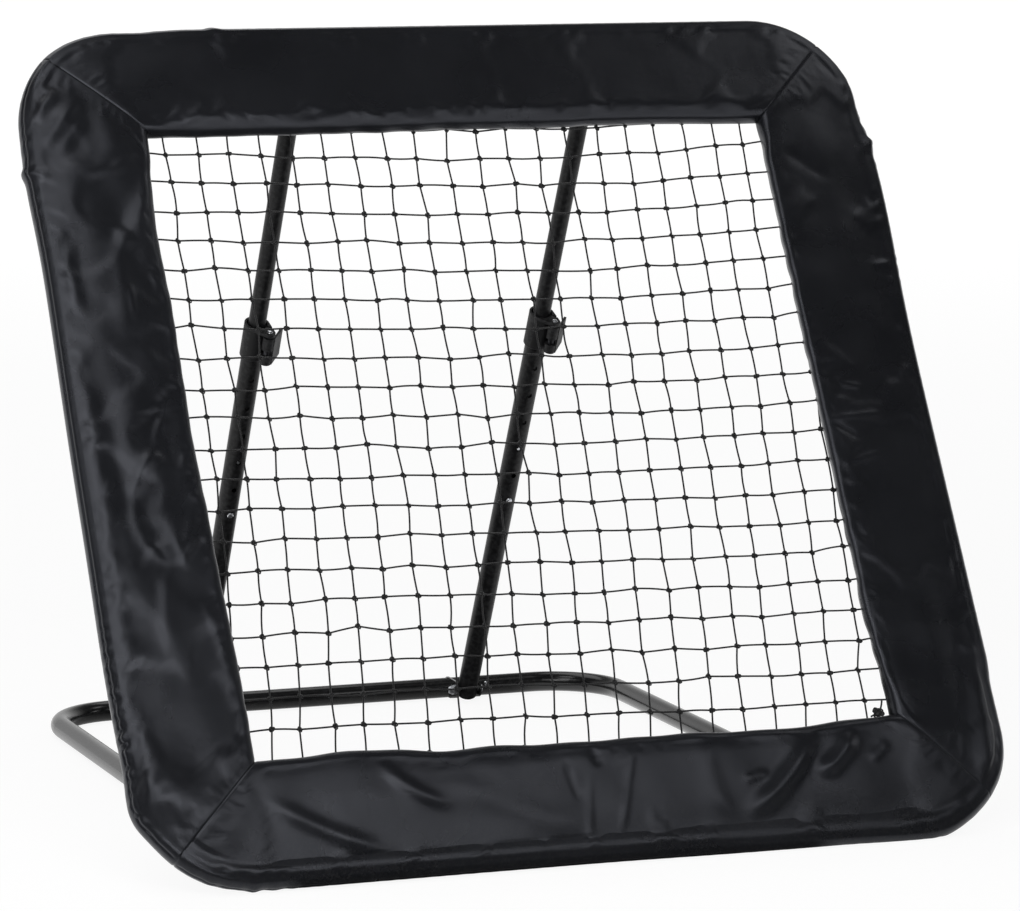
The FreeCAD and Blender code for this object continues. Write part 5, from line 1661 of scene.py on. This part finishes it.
@dataclass
class Netting:
    """The knotted net, its border rope, the elastic loops and the corner tie, in mm."""

    plane: LeanPlane
    body: str = "frame"
    twine: float = 2.45
    rope: float = 6.0
    rope_inset: float = 95.0
    rope_corner: float = 20.0
    loop_cord: float = 4.0
    loop_gap: float = 0.3
    tube: float = 28.0
    loops_a_side: int = 8
    gaps: int = 19
    columns: Tuple[int, int] = (-11, 12)
    lines: Tuple[int, int] = (-13, 10)
    wander: float = 1.5
    tie_place: Tuple[float, float, float] = (433.0, 153.0, 3.0)
    seed: int = 11

    def opening(self, clear: float = 0.0) -> Tuple[float, float, float]:
        """The half width and half height inside the border rope, and the s of its middle, in mm."""
        half_x = 1000 * self.plane.half_width - self.rope_inset - clear
        half_s = 500 * self.plane.height - self.rope_inset - clear
        return half_x, half_s, 500 * self.plane.height

    def cord(
        self, parts: MeshParts, path: np.ndarray, thick: float, sides: int, closed: bool = False
    ) -> None:
        """Adds a cord whose path is drawn on the frame's plane.

        Args:
            parts: where the cord is added.
            path: the points that its middle follows, in mm.
            thick: its diameter, in mm.
            sides: how many faces go round it.
            closed: whether its end meets its start.
        """
        parts.tube(self.plane.world(np.array(path) * MM), thick / 2 * MM, sides, closed=closed)

    def drawn(self, i: float, j: float) -> Tuple[float, float]:
        """Where a knot of the net lies on the frame's plane: a square mesh, sagging and pulled aside.

        Args:
            i: the knot's column.
            j: the knot's line, counted upward.

        Returns:
            Its x and s in mm.
        """
        a, b = (i - 1) / 11.0, (j + 1.5) / 10.5
        x = 8.9 + 481.7 * a + 22.2 * b - 8.5 * b * b + 7.2 * b**3
        x += 3.1 * a * b + 3.4 * a * b * b + 2.9 * a * a - 6.3 * a * a * b - 4.5 * a**3
        s = 588.3 + 448.1 * b - 0.6 * b * b - 0.5 * b**3
        s += -14.6 * a + 3.5 * a * b + 2.9 * a * b * b + 8.6 * a * a + 12.7 * a * a * b + 8.1 * a**3
        return x, s

    def held(self, x: float, s: float, clear: float) -> Tuple[float, float]:
        """Keeps a point inside the border rope.

        Args:
            x: across, in mm.
            s: up the frame, in mm.
            clear: how far inside the rope's middle it stays, in mm.

        Returns:
            The nearest point inside.
        """
        half_x, half_s, middle = self.opening(clear)
        x, s = max(-half_x, min(half_x, x)), max(-half_s, min(half_s, s - middle))
        corner = self.rope_corner - clear
        over_x, over_s = abs(x) - (half_x - corner), abs(s) - (half_s - corner)
        if over_x > 0 and over_s > 0 and math.hypot(over_x, over_s) > corner:
            scale = corner / math.hypot(over_x, over_s)
            x = math.copysign(half_x - corner + over_x * scale, x)
            s = math.copysign(half_s - corner + over_s * scale, s)
        return x, s + middle

    def knots(self) -> np.ndarray:
        """Every knot's place on the frame's plane, by column and line.

        Returns:
            The x, s and n of each, in mm.
        """
        dice = random.Random(self.seed)
        count_i = self.columns[1] - self.columns[0] + 1
        count_j = self.lines[1] - self.lines[0] + 1
        places = np.zeros((count_i, count_j, 3))
        clear = (self.rope + self.twine) / 2
        for i in range(count_i):
            for j in range(count_j):
                x, s = self.drawn(i + self.columns[0], j + self.lines[0])
                x += dice.gauss(0, self.wander)
                s += dice.gauss(0, self.wander)
                x, s = self.held(x, s, clear)
                edge = i in (0, count_i - 1) or j in (0, count_j - 1)
                places[i, j] = (x, s, 0.0 if edge else dice.gauss(0, 1.2))
        return places

    def strand(self, nodes: np.ndarray, dice: random.Random) -> np.ndarray:
        """A length of twine from knot to knot, a little slack between them.

        Args:
            nodes: the knots that it passes, in mm.
            dice: the seeded source of its unevenness.

        Returns:
            The points that its middle follows, in mm.
        """
        path: List[np.ndarray] = []
        for a, b in zip(nodes[:-1], nodes[1:]):
            gap = b - a
            length = float(np.linalg.norm(gap))
            if length < 1.0:
                continue
            cross = np.array([-gap[1], gap[0], 0.0]) / length
            bow, lift = dice.gauss(0, 0.5), dice.gauss(0, 0.5)
            for t in (0.0, 0.22, 0.44, 0.66, 0.88):
                swell = math.sin(math.pi * t)
                path.append(a + gap * t + cross * bow * swell + np.array([0, 0, lift * swell]))
        path.append(nodes[-1])
        return np.array(path)

    def knot(self, place: np.ndarray, dice: random.Random, scale: float = 1.0) -> np.ndarray:
        """The path of one tight knot: three lobes pulled out of round.

        Args:
            place: its middle, in mm.
            dice: the seeded source of its turn.
            scale: how large it is.

        Returns:
            The closed path, in mm.
        """
        t = np.linspace(0, 2 * math.pi, 22, endpoint=False)
        ring = 2.0 + np.cos(3 * t)
        lobes = (ring * np.cos(2 * t) * 1.18, ring * np.sin(2 * t) * 0.84, np.sin(3 * t) * 0.95)
        tip, roll = dice.uniform(-0.5, 0.5), dice.uniform(-0.5, 0.5)
        turn = Euler((tip, roll, math.radians(-38) + dice.gauss(0, 0.35)), "XYZ")
        return place + np.stack(lobes, axis=1) @ np.array(turn.to_matrix()).T * scale

    def weave(self, palette: Palette) -> bpy.types.Object:
        """Knots the net: strands both ways, a knot at each crossing and a lashing at each edge.

        Args:
            palette: the materials.

        Returns:
            The net's object.
        """
        dice = random.Random(self.seed + 1)
        places = self.knots()
        parts = MeshParts()
        count_i, count_j = places.shape[:2]
        for line in (*places, *places.swapaxes(0, 1)):
            self.cord(parts, self.strand(line, dice), self.twine, 7)
        for i in range(count_i):
            for j in range(count_j):
                edge_i, edge_j = i in (0, count_i - 1), j in (0, count_j - 1)
                if not (edge_i or edge_j):
                    path = self.knot(places[i, j], dice, 1.16)
                    self.cord(parts, path, self.twine * 0.95, 6, closed=True)
                elif edge_i != edge_j:
                    self.lash(parts, places[i, j], edge_i)
        return parts.build("knotted_net", palette.cord)

    def lash(self, parts: MeshParts, place: np.ndarray, upright: bool) -> None:
        """Winds the net's edge to the rope with a turn and a half of twine.

        Args:
            parts: where the winding is added.
            place: the edge knot's place, in mm.
            upright: whether the rope runs up the frame there.
        """
        half_x, half_s, middle = self.opening()
        if upright:
            centre = np.array([math.copysign(half_x, place[0]), place[1], 0.0])
        else:
            centre = np.array([place[0], middle + math.copysign(half_s, place[1] - middle), 0.0])
        inward = place - centre
        inward[2] = 0
        inward /= max(np.linalg.norm(inward), 1e-6)
        run = np.array([0.0, 1.0, 0.0]) if upright else np.array([1.0, 0.0, 0.0])
        out = np.array([0.0, 0.0, 1.0])
        turns = np.linspace(0, 3.4 * math.pi, 34)
        reach = self.rope / 2 + self.twine / 2 + 0.15
        path = []
        for turn in turns:
            shift = self.twine * 1.05 * (turn / (2 * math.pi) - 0.85)
            stretch = 1.0 + 0.42 * max(0.0, math.cos(turn))
            round_rope = inward * math.cos(turn) * reach * stretch + out * math.sin(turn) * reach
            path.append(centre + round_rope + run * shift)
        self.cord(parts, path, self.twine, 6)

    def border(self, palette: Palette) -> bpy.types.Object:
        """Lays the border rope round the net.

        Args:
            palette: the materials.

        Returns:
            The rope's object.
        """
        half_x, half_s, middle = self.opening()
        r = self.rope_corner
        corners = []
        for index, (way_x, way_s) in enumerate([(1, -1), (1, 1), (-1, 1), (-1, -1)]):
            centre_x, centre_s = way_x * (half_x - r), middle + way_s * (half_s - r)
            turns = [math.radians(90 * index - 90 + 15 * step) for step in range(7)]
            corners.append([(centre_x + r * math.cos(a), centre_s + r * math.sin(a)) for a in turns])
        path: List[Tuple[float, float, float]] = []
        for index, corner in enumerate(corners):
            path += [(x, s, 0.0) for x, s in corner]
            (x, s), (next_x, next_s) = corner[-1], corners[(index + 1) % 4][0]
            for step in range(1, 40):
                t = step / 40
                sway = 0.6 * math.sin(9 * math.pi * t + index) * math.sin(math.pi * t)
                path.append((x + (next_x - x) * t, s + (next_s - s) * t, sway))
        parts = MeshParts()
        self.cord(parts, path, self.rope, 12, closed=True)
        return parts.build("net_border_rope", palette.rope)

    def loop_path(self) -> np.ndarray:
        """One elastic loop round the tube and the rope, in the section's u and n.

        Returns:
            The closed path, in mm.
        """
        big = self.tube / 2 + self.loop_gap + self.loop_cord / 2
        small = self.rope / 2 + self.loop_gap + self.loop_cord / 2
        spread = math.acos((big - small) / self.rope_inset)
        arcs = []
        for centre, radius, first, last, count in (
            (self.rope_inset, small, -spread, spread, 9),
            (0.0, big, spread, 2 * math.pi - spread, 19),
        ):
            angles = np.linspace(first, last, count)
            arcs.append(np.stack([centre + radius * np.cos(angles), radius * np.sin(angles)], axis=1))
        t = np.array((0.2, 0.4, 0.6, 0.8))[:, None]
        out, home = (a[-1] + (b[0] - a[-1]) * t for a, b in (arcs, arcs[::-1]))
        return np.vstack([arcs[0], out, arcs[1], home])

    def hang(self, palette: Palette) -> bpy.types.Object:
        """Hangs the net from the tube by its elastic loops.

        Args:
            palette: the materials.

        Returns:
            The loops' object.
        """
        dice = random.Random(self.seed + 2)
        section = self.loop_path()
        parts = MeshParts()
        net_edge = self.rope_inset + self.rope / 2 + 0.3
        u, n = section.T
        for side in Side:
            pitch = 4 * (self.plane.half(side) - net_edge) / self.gaps
            for index in range(self.loops_a_side):
                w = (index - (self.loops_a_side - 1) / 2) * pitch
                lean = dice.uniform(-2.0, 2.0)
                x, s = self.plane.on_side(side, w + lean * (u / self.rope_inset - 0.5), u)
                self.cord(parts, np.stack([x, s, n], axis=1), self.loop_cord, 10, closed=True)
        return parts.build("net_elastic_loops", palette.bungee)

    def tie(self, palette: Palette) -> bpy.types.Object:
        """Bunches the spare twine at the lower right corner into a tied knot with two loose ends.

        Args:
            palette: the materials.

        Returns:
            The tie's object.
        """
        dice = random.Random(self.seed + 3)
        parts = MeshParts()
        centre = np.array(self.tie_place)
        for _ in range(7):
            offset = np.array([dice.uniform(-6, 6), dice.uniform(-5, 6), dice.uniform(-1, 4)])
            self.cord(parts, self.knot(centre + offset, dice, 1.35), self.twine, 6, closed=True)
        for end in ((-14.0, -5.0, 2.0), (6.0, 16.0, 4.0)):
            path = []
            for t in np.linspace(0, 1, 6):
                arch = np.array([0, 0, 3.0 * math.sin(math.pi * t)])
                path.append(centre + np.array(end) * t + arch)
            self.cord(parts, path, self.twine, 6)
        return parts.build("net_corner_tie", palette.cord)

    def build(self, palette: Palette) -> None:
        """Builds the netting and lets it stand for the CAD's net.

        Args:
            palette: the materials.
        """
        for piece, node, slot in (
            (self.weave(palette), "net", Slot.CORD),
            (self.border(palette), "net_rope", Slot.CORD),
            (self.hang(palette), "net_loops", Slot.ELASTIC),
            (self.tie(palette), "net_tie", Slot.CORD),
        ):
            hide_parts(node)
            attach(piece, self.body)
            LOG.info("%s: %d faces", piece.name, len(piece.data.polygons))


# Metal and plastic -------------------------------------------------------------------------


@dataclass(frozen=True)
class Press:
    """How a pair of spring buttons is pressed in: along which axis and how far, in metres."""

    button: str
    axis: Tuple[float, float, float]
    travel: float


@dataclass
class Ironwork:
    """The tubes, brackets, clamps and fasteners whose solids stay as they are."""

    nodes: Dict[str, bpy.types.Object]
    presses: Tuple[Press, ...] = (
        Press("leg_button", (0.0, -0.895583, -0.444895), 0.0030),
        Press("base_button", (0.0, -0.939693, 0.342020), 0.0035),
    )

    def dress(self, palette: Palette) -> None:
        """Gives each solid the finish of its kind.

        Args:
            palette: the materials.
        """
        rules: Tuple[Tuple[Tuple[str, ...], bpy.types.Material], ...] = (
            (("leg_lower_tube", "leg_upper_tube"), palette.leg_paint),
            (("leg_foot_cap", "leg_bush", "clamp_collar", "clamp_lever"), palette.nylon),
            (("base_button_spring", "leg_button_spring"), palette.spring),
            (("foot_bolts", "foot_nuts", "top_pivot", "clamp_pin"), palette.zinc),
            (("leg_stop_rivet", "leg_button", "base_button"), palette.zinc),
            (("base_joint_screws", "frame_joint_screws", "clamp_eye_bolt"), palette.black_steel),
            (("base_", "foot_bracket", "frame_", "top_bracket"), palette.base_paint),
        )
        for name, piece in self.nodes.items():
            material = next((made for starts, made in rules if name.startswith(starts)), None)
            if material is None:
                continue
            piece.data.materials.clear()
            piece.data.materials.append(material)
            self.shade(piece)
            LOG.info("%s: %s", name, material.name)

    @staticmethod
    def shade(piece: bpy.types.Object) -> None:
        """Shades a solid smoothly but keeps its edges crisp."""
        mesh = piece.data
        mesh.polygons.foreach_set("use_smooth", [True] * len(mesh.polygons))
        mesh.set_sharp_from_angle(angle=math.radians(32))

    def spring(self) -> None:
        """Finds where each leaf spring lies furthest back along its button's press and gives the spring a
        mesh of its own; the spring itself is not bent.
        """
        for press in self.presses:
            for hand in Hand:
                piece = self.nodes[f"{press.button}_spring_{hand.value}"]
                matrix = np.array(piece.matrix_world)
                points = np.array([vertex.co for vertex in piece.data.vertices])
                points = points @ matrix[:3, :3].T + matrix[:3, 3]
                along = points @ np.array(press.axis)
                wall = points[along.argmin()]
                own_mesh(piece)


def main() -> None:
    """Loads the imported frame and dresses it, sub-assembly by sub-assembly."""
    logging.basicConfig(level=logging.INFO, format="%(message)s")
    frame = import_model()
    Studio().build()
    palette = Palette(Effects())
    plane = LeanPlane()
    ironwork = Ironwork(frame["nodes"])
    ironwork.dress(palette)
    ironwork.spring()
    Netting(plane).build(palette)
    Cover(plane).build(palette)


if __name__ == "__main__":
    main()
